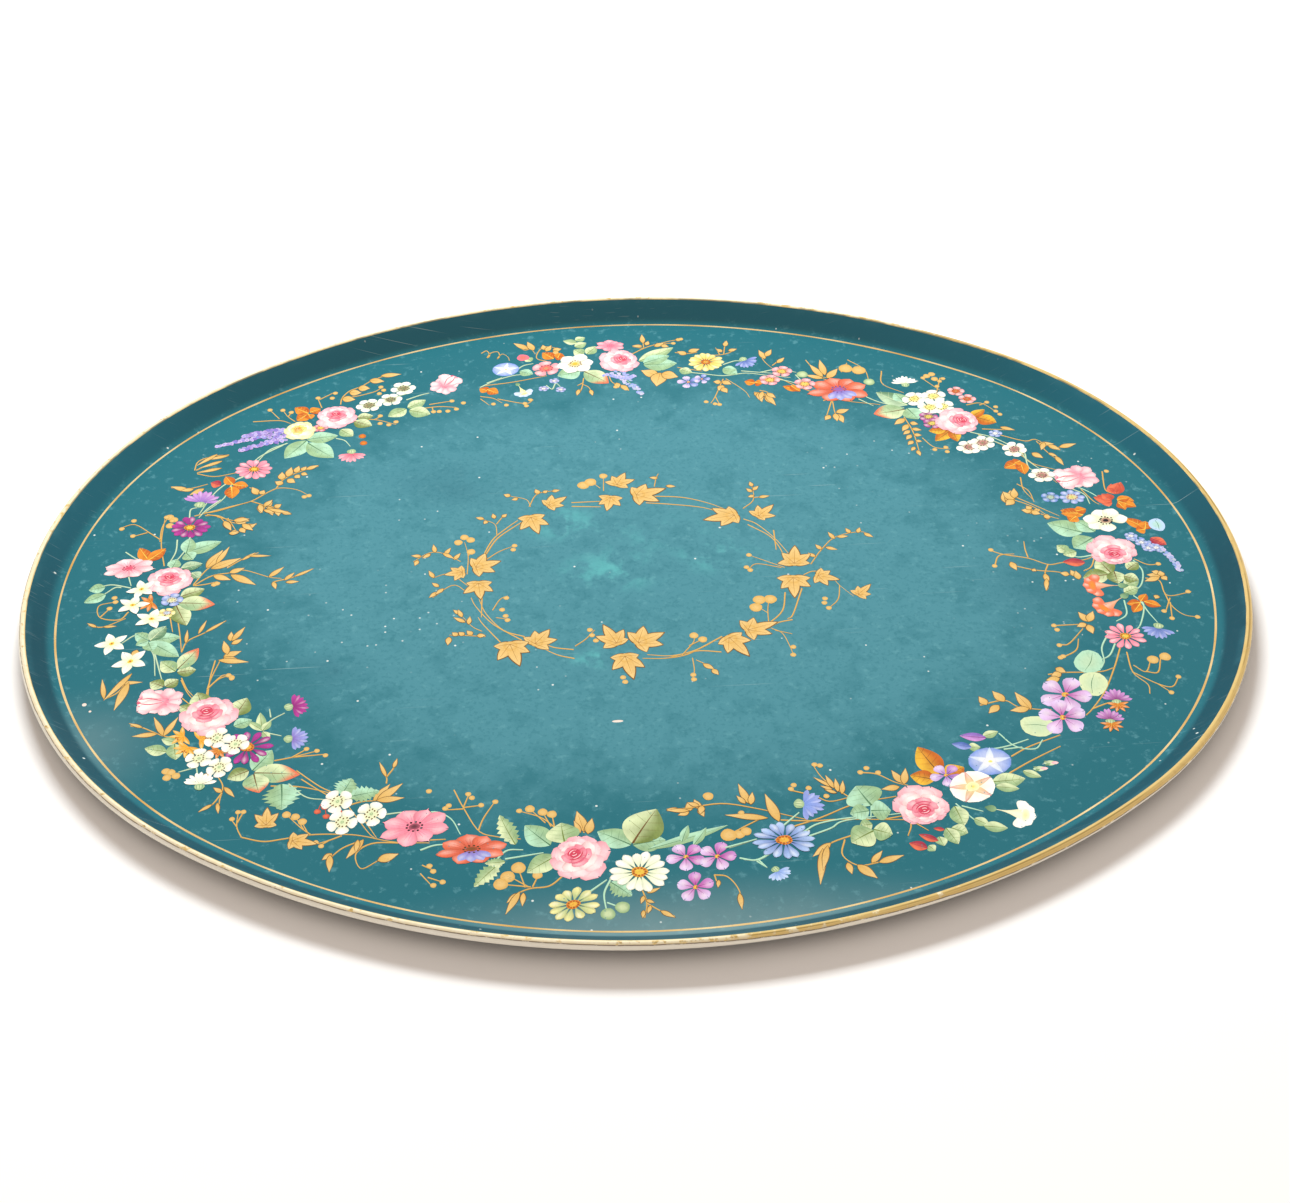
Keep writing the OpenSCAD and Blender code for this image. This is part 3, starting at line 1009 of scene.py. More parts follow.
# ------------ the garland and the wreath
# Each kind of leaf: its dark side, its light side, its veins, and a turned tip if it has one.
LEAF_KINDS = {
    "mint": ("leaf", "mint", "leaf_deep"),
    "pale": ("fern", "leaf_pale", "moss"),
    "deep": ("leaf_deep", "sage", "leaf_pale"),
    "olive": ("moss", "leaf_pale", "umber"),
    "autumn": ("leaf", "leaf_pale", "umber", "coral"),
    "ochre": ("burnt", "gold_yellow", "umber"),
    "orange": ("burnt", "orange", "lemon"),
    "red": ("crimson", "coral", "crimson"),
    "coral": ("brick", "coral", "brick"),
    "violet": ("violet", "mauve", "plum"),
    "blue": ("deep_blue", "lavender", "deep_blue"),
}


def rounds(coat, places, size, first="sage", last="leaf_pale"):
    """Round leaves with a fold down the middle."""
    for x, y in places:
        b = Brush(coat, x, y, rng.uniform(0, 360), 0.9)
        b.dab(0, 0, size, size * 0.9, 0, first, last, rough=0.04)
        b.line([(-0.4 * size, 0), (0, 0.06 * size), (0.42 * size, 0)], [0.2, 0.5, 0.15], "leaf_deep")


def blades(coat, kind, places, teeth=0.0):
    """Single leaves, each from its stalk end to its tip with a width: (x, y, x, y, width).

    Gold ones are two plain strokes, a dark one under a bright one. Small ones have no veins.
    """
    for k, (x, y, to_x, to_y, width) in enumerate(places):
        long = math.hypot(to_x - x, to_y - y)
        turn = math.degrees(math.atan2(to_y - y, to_x - x))
        small = width < 9
        if kind == "gold":
            b = Brush(coat, x, y, turn)
            b.petal(0, -0.4, long + 0.9, 0.72 * width + 0.7, "umber", "brown", fullest=0.40,
                    square=1.05, streak=0)
            b.petal(0, 0, long, 0.70 * width, "leaf_gold", "gold_light", fullest=0.40, square=1.05,
                    shade=0.05)
            if not small:
                b.line([(0, 0), (0.8 * long, 0)], [0.4, 0.15], "gold_dark")
            continue
        Brush(coat, 0, 0).leaf(x, y, turn, long, width, *LEAF_KINDS[kind], teeth=teeth,
                               bend=0.05 if k % 2 else -0.05,
                               veins=0 if small else 4)


def twigs(coat, tone, width, runs):
    """Thin stalks along runs of points, each with a darker twin beside it."""
    for run in runs:
        under = [(x + 0.2, y - 0.35) for x, y in run]
        Brush(coat, 0, 0).line(under, [0.7 * width, 0.6 * width, 0.35 * width], mixed(tone, "umber", 0.5))
        Brush(coat, 0, 0).line(run, [0.75 * width, 0.65 * width, 0.4 * width], tone)


def gold_dots(gold, size, places):
    """Round gold berries of one size."""
    Brush(gold, 0, 0).dots(places, size, "gold_light", "leaf_gold")


def top_cluster(paint, gold):
    """The spray at the far side, centred on a pink rose."""
    twigs(gold, "leaf_gold", 0.9, [[(-92, 259), (-88, 262), (-86, 256), (-88, 253), (-85, 259), (-80, 260),
        (-79, 254), (-81, 251), (-77, 257), (-73, 253), (-72, 248)], [(-68, 270), (-61, 261), (-56, 262),
        (-53, 255)], [(-45, 245), (-52, 249), (-51, 257), (-46, 264), (-38, 262)], [(-20, 222), (-22, 210),
        (-25, 202)], [(-21, 216), (-25, 213)], [(-21, 214), (-17, 210), (-15, 201)], [(-2, 225), (0, 215),
        (6, 211), (11, 205)], [(16, 249), (29, 258), (45, 264), (55, 266)], [(26, 257), (26, 274)],
        [(26, 256), (18, 259)], [(36, 262), (48, 261)], [(48, 249), (57, 247), (64, 248)], [(63, 243),
        (83, 244), (93, 250)], [(83, 244), (86, 261)], [(80, 244), (78, 253)], [(79, 213), (77, 208),
        (71, 192), (67, 184)], [(71, 192), (73, 182)], [(81, 213), (88, 204), (93, 196), (95, 189)],
        [(99, 195), (107, 192), (112, 179)], [(109, 247), (111, 233), (117, 221)], [(116, 227), (125, 236)],
        [(-94, 205), (-85, 202), (-79, 196)], [(-94, 202), (-88, 194)], [(-82, 201), (-63, 194),
        (-57, 198)], [(-91, 218), (-70, 221), (-46, 227)], [(48, 230), (65, 224)]])
    blades(gold, "gold", [(-58, 262, -68, 270, 7), (-54, 260, -58, 271, 7), (-46, 260, -47, 266, 6),
        (-45, 258, -41, 265, 6), (-40, 259, -34, 260, 7), (-39, 258, -37, 253, 6), (26, 263, 26, 274, 5),
        (25, 259, 18, 260, 5), (28, 260, 30, 265, 5), (34, 258, 41, 262, 6), (39, 259, 44, 257, 6),
        (50, 265, 55, 266, 5), (56, 246, 50, 250, 7), (58, 249, 66, 252, 7), (82, 247, 79, 251, 5),
        (85, 254, 87, 261, 5), (87, 248, 93, 250, 5), (112, 236, 109, 247, 6), (113, 239, 118, 247, 6),
        (120, 230, 126, 236, 5), (77, 209, 72, 210, 7), (78, 205, 74, 199, 7), (78, 210, 84, 206, 7),
        (77, 202, 80, 196, 7), (99, 194, 105, 189, 7), (102, 194, 103, 183, 7), (105, 191, 113, 189, 6),
        (106, 189, 112, 179, 7), (-24, 208, -26, 201, 4), (-16, 207, -15, 200, 4), (6, 211, 11, 204, 6),
        (3, 214, 4, 208, 6)])
    blades(gold, "gold", [(33, 221, 22, 228, 13), (35, 224, 31, 208, 16), (36, 223, 47, 218, 14)])
    gold_dots(gold, 3.4, [(64, 186), (70, 183), (73, 182), (48, 261), (54, 266), (2, 209), (9, 206),
        (-59, 198), (-63, 194), (-62, 191), (-85, 195), (-76, 193)])
    twigs(paint, "sage", 1.1, [[(-94, 216), (-84, 223), (-70, 229), (-57, 230)], [(-89, 221), (-78, 227)],
        [(-67, 236), (-62, 241), (-55, 243)], [(49, 225), (64, 221), (80, 217), (96, 219), (111, 215),
        (127, 211)], [(81, 231), (90, 235), (95, 234)], [(93, 222), (116, 217)], [(-47, 215), (-43, 210),
        (-40, 217), (-36, 210)]])
    blades(paint, "pale", [(-18, 252, -25, 258, 10), (-16, 252, -8, 261, 9), (-22, 267, -32, 270, 7),
        (-24, 262, -15, 266, 8), (-23, 270, -16, 274, 7), (21, 240, 48, 254, 12), (49, 227, 58, 223, 9),
        (-56, 246, -60, 251, 7)])
    blades(paint, "mint", [(-22, 231, -38, 225, 15), (24, 235, 48, 234, 16), (24, 237, 43, 246, 12),
        (81, 227, 89, 217, 10), (81, 226, 90, 224, 8), (-65, 234, -56, 229, 9)])
    blades(paint, "autumn", [(-19, 230, -2, 215, 16)])
    blades(paint, "orange", [(-40, 248, -48, 256, 10), (-39, 251, -32, 249, 9), (-37, 249, -35, 255, 7),
        (-88, 211, -94, 215, 8), (-89, 213, -81, 208, 9), (101, 206, 94, 209, 8), (101, 207, 106, 205, 8)])
    trumpet(paint, -64, 209, 20, -70, "sky", "butter")
    for x, y in ((-49, 211), (-37, 209), (-41, 220)):
        blossom(paint, x, y, 8, 0, "lavender", "violet", "white")
    spike(paint, [(4, 228), (12, 214), (19, 200)], "blue", "sage", 4.5, 14, 3.2)
    spike(paint, [(-4, 224), (8, 220), (16, 222)], "blue", "lavender", 5.0, 10, 2.6)
    blossom(paint, -46, 236, 22, 20, "pink", "rose", "coral", "crimson")
    morning_glory(paint, -75, 237, 20, 10)
    Brush(paint, 0, 0).dab(-62, 251, 9, 8, 0, "coral", "rose")
    anemone(paint, -25, 240, 29, 10, "gold_yellow")
    poppy(paint, 2, 261, 20, 0, "rose", "pink", "rose", squash=0.8)
    rose(paint, 6, 241, 30, -50)
    daisy(paint, 69, 235, 27, 0, "gold_yellow", "butter", "burnt", 15, 0.95, thin=0.36)
    half_daisy(paint, 97, 235, 20, -60, "deep_blue", "lavender")
    violet(paint, 54, 211, 17, 0, "deep_blue", "lavender")
    violet(paint, 64, 214, 13, 40, "deep_blue", "lavender")


def upper_left_cluster(paint, gold):
    """The spray at the far left, with purple spikes and two roses."""
    twigs(gold, "leaf_gold", 1.0, [[(-288, 134), (-286, 144), (-276, 149), (-266, 150)], [(-287, 134),
        (-281, 138), (-272, 143)], [(-286, 131), (-276, 135), (-270, 135)], [(-286, 130), (-274, 126),
        (-260, 129)], [(-252, 187), (-234, 187), (-226, 183)], [(-234, 189), (-241, 200)], [(-223, 185),
        (-228, 191), (-232, 199)], [(-228, 191), (-226, 196)], [(-205, 200), (-208, 211)], [(-207, 210),
        (-197, 218)], [(-192, 203), (-191, 211), (-186, 219), (-178, 224), (-170, 231), (-159, 237),
        (-151, 237)], [(-186, 211), (-178, 213), (-168, 217), (-164, 221)], [(-182, 183), (-168, 183),
        (-153, 176)], [(-168, 183), (-163, 187)], [(-133, 194), (-122, 195), (-111, 193)], [(-130, 198),
        (-115, 201)], [(-128, 195), (-127, 188)], [(-302, 116), (-290, 114), (-278, 118)], [(-289, 107),
        (-280, 113)], [(-284, 84), (-262, 92), (-248, 97), (-236, 107), (-229, 110), (-218, 107),
        (-210, 100)], [(-248, 97), (-241, 93), (-232, 89), (-221, 81)], [(-277, 84), (-268, 83), (-258, 75),
        (-243, 72)], [(-262, 80), (-256, 67)], [(-244, 104), (-247, 110), (-250, 112)], [(-232, 110),
        (-228, 119), (-219, 126), (-205, 132)], [(-304, 59), (-304, 73), (-301, 85)]])
    blades(gold, "gold", [(-266, 149, -275, 148, 3), (-266, 149, -281, 145, 4), (-270, 143, -285, 136, 4),
        (-270, 135, -285, 131, 4), (-274, 151, -287, 139, 4), (-290, 112, -302, 117, 6),
        (-287, 113, -295, 112, 5), (-280, 113, -289, 107, 6), (-244, 104, -248, 112, 7),
        (-242, 104, -240, 108, 6), (-228, 114, -233, 117, 7), (-229, 119, -229, 127, 7),
        (-225, 119, -220, 115, 7), (-225, 122, -223, 132, 7), (-220, 123, -217, 120, 6),
        (-220, 126, -218, 133, 6), (-216, 125, -212, 123, 5), (-216, 128, -213, 132, 5),
        (-213, 129, -205, 133, 5), (-241, 93, -241, 84, 7), (-238, 91, -234, 95, 7),
        (-236, 90, -233, 81, 7), (-232, 89, -228, 92, 6), (-230, 87, -229, 80, 6), (-227, 84, -221, 81, 5),
        (-264, 77, -259, 67, 7), (-259, 65, -254, 65, 6), (-257, 77, -250, 74, 7), (-256, 79, -248, 76, 7),
        (-250, 67, -243, 73, 5), (-253, 69, -250, 64, 6), (-191, 210, -182, 208, 10),
        (-186, 217, -178, 216, 10), (-180, 222, -172, 221, 10), (-172, 231, -162, 229, 9),
        (-164, 236, -150, 237, 7)])
    gold_dots(gold, 3.6, [(-241, 200), (-232, 199), (-226, 196), (-208, 212), (-196, 217), (-198, 211),
        (-164, 222), (-162, 218), (-165, 214), (-164, 178), (-158, 176), (-153, 179), (-164, 187),
        (-127, 189), (-123, 189), (-117, 189), (-111, 191), (-114, 201), (-106, 198), (-210, 100),
        (-213, 99)])
    gold_dots(gold, 5.5, [(-300, 84), (-297, 81), (-299, 75)])
    twigs(paint, "sage", 1.2, [[(-227, 160), (-239, 153), (-246, 141)], [(-230, 158), (-243, 148),
        (-248, 142)], [(-253, 126), (-261, 119), (-266, 102), (-277, 88)], [(-255, 124), (-266, 117),
        (-274, 105), (-281, 86)], [(-287, 82), (-287, 91), (-283, 93)], [(-194, 163), (-188, 160),
        (-184, 153)], [(-146, 205), (-136, 210), (-130, 212)], [(-168, 204), (-144, 213)]])
    blades(paint, "mint", [(-214, 162, -227, 142, 15), (-213, 159, -196, 140, 16),
        (-214, 163, -193, 167, 13)])
    blades(paint, "pale", [(-146, 194, -158, 185, 11), (-145, 195, -132, 203, 10),
        (-144, 192, -129, 187, 13), (-191, 173, -183, 164, 10)])
    blades(paint, "olive", [(-180, 186, -169, 188, 9), (-182, 182, -170, 175, 11)])
    blades(paint, "orange", [(-214, 194, -224, 201, 10), (-214, 193, -222, 186, 10),
        (-213, 195, -206, 199, 9), (-214, 193, -212, 187, 7), (-261, 116, -267, 125, 8),
        (-261, 116, -251, 113, 9), (-262, 114, -260, 101, 10)])
    blades(paint, "red", [(-269, 116, -276, 119, 8)])
    Brush(paint, 0, 0).dots([(-176, 164), (-175, 156)], 5, "orange", "burnt")
    for run in ([(-228, 170), (-250, 168), (-274, 160)], [(-230, 166), (-244, 160), (-258, 154)],
            [(-228, 174), (-242, 174), (-256, 170)]):
        spike(paint, run, "violet", "blue", 5.0, 20, 3.2)
    half_daisy(paint, -183, 145, 21, -90, "deep_rose", "pink")
    blossom(paint, -205, 176, 11, 0, "rose", "deep_rose", "lemon")
    rose(paint, -219, 173, 23, 30, YELLOW_ROSE)
    rose(paint, -194, 187, 29, 10)
    daisy(paint, -248, 132, 27, 0, "rose", "pink", "gold_yellow", 13, 0.86, thin=0.36)
    half_daisy(paint, -281, 98, 25, 80, "violet", "mauve")
    daisy(paint, -286, 72, 28, 0, "plum", "magenta", "gold_yellow", 13, 0.86, thin=0.36)
    rosebud(paint, -118, 222, 28, 60)
    for x, y, size in ((-148, 219, 19), (-157, 206, 18), (-172, 200, 19)):
        blossom(paint, x, y, size, 10, "white", "leaf_pale", "umber", "black", 6)


def left_cluster(paint, gold):
    """The spray at the left end."""
    twigs(gold, "leaf_gold", 1.0, [[(-299, 34), (-303, 57), (-303, 82)], [(-304, 61), (-311, 68),
        (-322, 78), (-331, 75)], [(-313, 69), (-321, 66)], [(-279, 14), (-272, 28), (-266, 34)],
        [(-279, 13), (-268, 22), (-257, 24), (-248, 26), (-232, 18), (-224, 16)], [(-278, 13), (-271, 14),
        (-264, 16)], [(-286, -18), (-283, -35), (-281, -49)], [(-291, -15), (-288, -30)], [(-281, -49),
        (-278, -39), (-268, -32), (-256, -22)], [(-263, -91), (-262, -77), (-257, -58)], [(-261, -80),
        (-255, -72), (-251, -72)], [(-279, -72), (-275, -82), (-271, -88)], [(-323, -87), (-315, -81),
        (-309, -66)], [(-279, 87), (-270, 88), (-248, 97)], [(-276, 85), (-267, 81), (-261, 69)],
        [(-269, 82), (-258, 77)], [(-248, 97), (-241, 93), (-236, 88)], [(-317, -9), (-322, -16),
        (-334, -13), (-336, -2), (-327, 1)], [(-340, -20), (-331, -22), (-318, -15)], [(-229, 13),
        (-216, 17), (-205, 24)], [(-259, 29), (-250, 37), (-240, 43)], [(-334, -13), (-329, -5)]])
    blades(gold, "gold", [(-272, 30, -263, 47, 9), (-269, 29, -251, 38, 9), (-266, 34, -259, 50, 5),
        (-267, 22, -256, 17, 7), (-257, 24, -248, 28, 6), (-256, 22, -240, 11, 8), (-232, 18, -223, 27, 5),
        (-229, 13, -227, 6, 4), (-222, 14, -216, 21, 4), (-221, 12, -213, 12, 4), (-216, 17, -204, 24, 3),
        (-250, 36, -242, 43, 3), (-246, 40, -232, 39, 3), (-255, -55, -245, -51, 7),
        (-255, -56, -244, -61, 7), (-253, -53, -256, -41, 6), (-252, -41, -252, -33, 5),
        (-251, -41, -244, -29, 5), (-251, -44, -245, -40, 5), (-316, -74, -302, -74, 4),
        (-310, -74, -316, -97, 7), (-309, -66, -323, -88, 5), (-323, -87, -326, -70, 4),
        (-308, -45, -310, -52, 6), (-279, -41, -279, -29, 3), (-272, -33, -268, -21, 3),
        (-268, -32, -256, -22, 3), (-242, 93, -240, 84, 5), (-239, 91, -234, 97, 5),
        (-237, 88, -221, 82, 4), (-239, 87, -232, 83, 4), (-264, 77, -259, 67, 6), (-258, 77, -248, 78, 6),
        (-252, 73, -245, 66, 6), (-260, 64, -254, 64, 5), (-335, -22, -341, -18, 3),
        (-331, -22, -323, -22, 3)])
    gold_dots(gold, 3.6, [(-302, 84), (-298, 80), (-266, 13), (-264, 14), (-327, 5), (-326, 1), (-329, -5),
        (-251, -72), (-249, -74), (-323, 82), (-330, 74), (-322, 66)])
    twigs(paint, "sage", 1.2, [[(-268, 100), (-276, 91), (-281, 82)], [(-285, 62), (-287, 49), (-294, 34)],
        [(-293, 60), (-293, 47), (-297, 34)], [(-321, 27), (-318, 16)], [(-318, 14), (-330, 18),
        (-339, 16)], [(-324, 15), (-328, 15), (-334, 9)], [(-306, -29), (-312, -32), (-318, -38)],
        [(-306, -39), (-298, -49), (-295, -69)], [(-297, -49), (-293, -64), (-290, -75)], [(-325, 50),
        (-319, 44), (-316, 42)]])
    blades(paint, "orange", [(-309, 40, -317, 53, 9), (-310, 40, -299, 51, 9)])
    blades(paint, "mint", [(-287, 46, -265, 57, 12), (-286, 46, -284, 61, 10), (-286, 46, -281, 39, 10),
        (-294, 31, -291, 40, 9), (-301, -37, -283, -34, 11), (-301, -38, -283, -54, 12),
        (-302, -37, -311, -30, 9), (-302, -38, -299, -47, 9), (-302, -37, -309, -41, 7),
        (-334, 16, -344, 14, 9), (-333, 9, -345, 1, 9)])
    blades(paint, "deep", [(-288, 31, -275, 35, 9), (-281, 26, -276, 20, 9), (-301, -37, -293, -24, 10)])
    blades(paint, "olive", [(-286, 3, -272, 10, 11), (-288, -5, -281, -25, 13), (-282, -67, -271, -65, 10),
        (-289, -79, -297, -74, 10), (-288, -79, -281, -73, 9)])
    blades(paint, "autumn", [(-287, -3, -264, -5, 14), (-282, -64, -270, -47, 11)])
    blades(paint, "pale", [(-283, -66, -293, -57, 11)])
    lily(paint, -303, -1, 18, 200)
    poppy(paint, -321, 33, 31, 10, "rose", "blush", "deep_rose", squash=0.7)
    rose(paint, -294, 18, 30, 10)
    blossom(paint, -291, 0, 15, 0, "lavender", "blue", "butter")
    blossom(paint, -293, -12, 11, 0, "butter", "gold_yellow", "sky")
    for x, y, size in ((-311, 12, 20), (-315, -3, 21), (-302, -17, 22), (-324, -38, 22), (-311, -55, 24)):
        star_flower(paint, x, y, size, rng.uniform(0, 72))


def lower_left_cluster(paint, gold):
    """The spray at the near left."""
    twigs(gold, "leaf_gold", 1.0, [[(-279, -74), (-275, -84), (-271, -91)], [(-277, -90), (-270, -98)],
        [(-260, -58), (-262, -75), (-262, -93)], [(-263, -83), (-257, -75), (-251, -72)], [(-220, -146),
        (-210, -144), (-196, -140)], [(-210, -144), (-191, -143)], [(-210, -144), (-202, -138)],
        [(-305, -111), (-298, -113), (-285, -121), (-278, -122)], [(-252, -155), (-248, -164), (-249, -175),
        (-249, -184)], [(-248, -169), (-253, -178), (-260, -183)], [(-207, -155), (-194, -168),
        (-181, -179), (-166, -205), (-162, -210)], [(-221, -166), (-204, -168), (-185, -175)],
        [(-204, -162), (-192, -173), (-182, -181)], [(-235, -204), (-223, -208), (-212, -207), (-197, -205),
        (-180, -206), (-169, -208), (-151, -214), (-132, -216)], [(-170, -192), (-161, -210)],
        [(-235, -204), (-238, -196), (-238, -186)], [(-238, -196), (-241, -191)], [(-238, -193),
        (-235, -185)], [(-197, -205), (-203, -199), (-211, -189)], [(-201, -201), (-206, -191)],
        [(-199, -203), (-202, -196)], [(-180, -207), (-187, -210), (-193, -212)], [(-187, -210),
        (-191, -213)], [(-176, -184), (-169, -182), (-161, -182)], [(-156, -169), (-156, -164),
        (-160, -152)], [(-156, -164), (-152, -157), (-150, -150)], [(-168, -211), (-179, -216),
        (-186, -223)], [(-146, -215), (-163, -214), (-172, -221), (-169, -232), (-160, -227)]])
    blades(gold, "gold", [(-160, -227, -149, -223, 8), (-185, -220, -190, -224, 5),
        (-186, -221, -186, -233, 5), (-168, -211, -177, -224, 6), (-171, -211, -172, -220, 4),
        (-163, -182, -154, -170, 6), (-161, -182, -147, -170, 7), (-161, -182, -146, -181, 6),
        (-285, -121, -292, -105, 5), (-285, -121, -278, -106, 5), (-289, -119, -303, -120, 5),
        (-298, -113, -306, -109, 3), (-248, -169, -253, -165, 4), (-247, -165, -241, -173, 4),
        (-250, -177, -249, -185, 3), (-253, -178, -260, -183, 3), (-258, -58, -240, -61, 6),
        (-156, -164, -160, -152, 3), (-152, -157, -150, -150, 3)])
    gold_dots(gold, 3.2, [(-251, -72), (-249, -75), (-202, -138), (-196, -140), (-191, -144), (-241, -190),
        (-238, -185), (-235, -185), (-194, -211), (-191, -214), (-258, -155)])
    gold_dots(gold, 5, [(-281, -150), (-280, -155), (-275, -154), (-278, -151), (-211, -189), (-206, -191),
        (-202, -195)])
    ivy(gold, -222, -195, 22, 90)
    ivy(gold, -206, -209, 22, -10)
    twigs(paint, "sage", 1.1, [[(-228, -121), (-224, -113), (-216, -107)], [(-228, -122), (-217, -126)],
        [(-224, -110), (-225, -103)], [(-239, -113), (-228, -121)], [(-265, -148), (-274, -151)],
        [(-264, -148), (-262, -159)], [(-211, -165), (-201, -176), (-190, -179)], [(-158, -193),
        (-145, -192), (-132, -194)], [(-279, -98), (-274, -106)]])
    blades(paint, "olive", [(-264, -99, -269, -86, 13), (-245, -107, -238, -93, 13),
        (-268, -103, -278, -97, 10), (-234, -153, -246, -158, 11)])
    blades(paint, "pale", [(-228, -121, -231, -106, 6), (-228, -121, -237, -112, 5),
        (-228, -121, -224, -113, 5), (-228, -122, -224, -128, 5), (-282, -134, -295, -131, 9),
        (-278, -128, -277, -141, 10), (-277, -127, -286, -124, 7)])
    blades(paint, "mint", [(-245, -116, -235, -111, 9), (-232, -153, -221, -138, 14)])
    blades(paint, "autumn", [(-231, -155, -205, -157, 15), (-231, -156, -228, -171, 15)])
    blades(paint, "mint", [(-215, -165, -213, -185, 19), (-181, -176, -175, -164, 13),
        (-177, -178, -160, -174, 11)], teeth=0.22)
    berries(paint, [(-194, -188), (-189, -192), (-185, -187), (-182, -189), (-190, -185)], 4.0, "coral",
        "brick", (-186, -176))
    for x, y, turn in ((-273, -122, 200), (-270, -131, 240), (-264, -126, 20)):
        lily(paint, x, y, 17, turn, "orange", "gold_yellow")
    lily(paint, -252, -135, 14, 240)
    half_daisy(paint, -212, -102, 21, 10)
    half_daisy(paint, -211, -129, 21, 0, "violet", "lavender")
    daisy(paint, -236, -134, 31, 0, "plum", "magenta", "orange", 12, 0.95, thin=0.28)
    rosebud(paint, -290, -92, 32, 175)
    rose(paint, -260, -107, 34, 20)
    for x, y in ((-254, -125), (-243, -131), (-263, -141), (-251, -149)):
        blossom(paint, x, y, 18, rng.uniform(0, 70), "white", "cream", "leaf_pale", "umber")
    half_daisy(paint, -261, -162, 20, 90, "cream", "white")
    for x, y in ((-183, -181), (-164, -192), (-180, -197)):
        blossom(paint, x, y, 20, rng.uniform(0, 70), "white", "cream", "leaf_pale", "umber")


def front_cluster(paint, gold):
    """The spray at the near side, left of its middle."""
    twigs(gold, "leaf_gold", 1.0, [[(-118, -177), (-113, -191), (-105, -209), (-96, -214), (-82, -217)],
        [(-105, -209), (-102, -200), (-96, -189)], [(-113, -191), (-110, -182)], [(-113, -191),
        (-103, -190)], [(-113, -192), (-123, -192)], [(-137, -214), (-123, -214)], [(-62, -211),
        (-70, -202), (-82, -196)], [(-68, -206), (-76, -195)], [(-65, -209), (-69, -198)], [(-63, -210),
        (-64, -200)], [(-47, -215), (-49, -210)], [(-60, -245), (-68, -252), (-78, -253), (-85, -256),
        (-91, -262)], [(-78, -252), (-93, -249)], [(-79, -252), (-90, -243)], [(-81, -252), (-84, -239)],
        [(-77, -252), (-74, -245)], [(-19, -257), (-17, -268), (-19, -278)], [(-17, -268), (-10, -274),
        (-3, -278)], [(21, -251), (28, -253), (33, -263), (33, -276)], [(21, -251), (22, -258)],
        [(-137, -238), (-131, -247)], [(-136, -232), (-130, -236)], [(-133, -241), (-125, -245)]])
    blades(gold, "gold", [(-47, -214, -50, -199, 9), (-45, -216, -42, -205, 7), (-49, -215, -52, -206, 4),
        (-85, -256, -91, -262, 4), (-84, -255, -92, -270, 5), (-82, -256, -83, -265, 4),
        (-19, -273, -20, -278, 3), (-16, -261, -9, -258, 3), (-18, -263, -20, -268, 3),
        (-17, -266, -13, -268, 3), (-15, -270, -17, -275, 3), (-10, -274, -3, -279, 4),
        (33, -265, 33, -276, 4), (23, -255, 22, -260, 3), (7, -202, 0, -201, 4), (13, -203, 12, -197, 6),
        (18, -202, 16, -195, 6), (18, -202, 20, -208, 5), (12, -204, 6, -206, 5)])
    Brush(gold, 0, 0).dots([(-95, -188), (-132, -233), (-130, -237), (-125, -245), (-130, -247),
        (-82, -196), (-110, -181), (-108, -184), (-103, -190), (-123, -191), (-121, -189), (-132, -177)],
        3.4, "gold_light", "leaf_gold")
    gold_dots(gold, 5.5, [(-76, -195), (-69, -198), (-64, -200), (-74, -244)])
    gold_dots(gold, 8, [(-84, -238), (-90, -244), (-94, -249)])
    twigs(paint, "mint", 1.3, [[(-137, -196), (-129, -193), (-120, -199), (-115, -211)], [(-137, -221),
        (-129, -218), (-119, -218)], [(-97, -233), (-90, -225), (-81, -225)], [(-91, -231), (-70, -228)],
        [(-35, -250), (-39, -259), (-39, -268), (-38, -274)], [(-38, -266), (-31, -270)], [(-47, -258),
        (-37, -250)], [(31, -232), (44, -228)], [(36, -240), (45, -242), (55, -236)], [(45, -243),
        (50, -248)]])
    blades(paint, "mint", [(-66, -223, -80, -208, 15), (-22, -226, -39, -214, 15),
        (-21, -226, -3, -223, 14), (-13, -230, 33, -218, 6), (6, -226, 10, -214, 5),
        (12, -229, 21, -217, 5)])
    blades(paint, "pale", [(-58, -222, -60, -207, 19), (-63, -231, -80, -241, 13)])
    blades(paint, "olive", [(-21, -225, -7, -200, 23)])
    blades(paint, "pale", [(-85, -221, -94, -199, 10), (-94, -234, -109, -249, 9),
        (-91, -233, -102, -234, 6)], teeth=0.22)
    blades(paint, "mint", [(-35, -252, -24, -262, 11)], teeth=0.22)
    Brush(paint, 0, 0).dots([(-38, -274), (-30, -270)], 8, "leaf_pale", "fern")
    poppy(paint, -140, -204, 36, 10, "rose", "pink", "black", squash=0.85)
    poppy(paint, -109, -223, 36, 0, "brick", "coral", "umber", squash=0.66, blue=True)
    daisy(paint, -56, -266, 31, 20, "fern", "butter", "orange", 12, 0.8, thin=0.34)
    rose(paint, -50, -234, 34, 40)
    for x, y, turn in ((7, -237, 18), (24, -238, 40), (10, -259, 60)):
        violet(paint, x, y, 23, turn, "magenta", "mauve")
    daisy(paint, -19, -246, 35, 0, "leaf_pale", "white", "gold_yellow", 15, 0.9, thin=0.32)


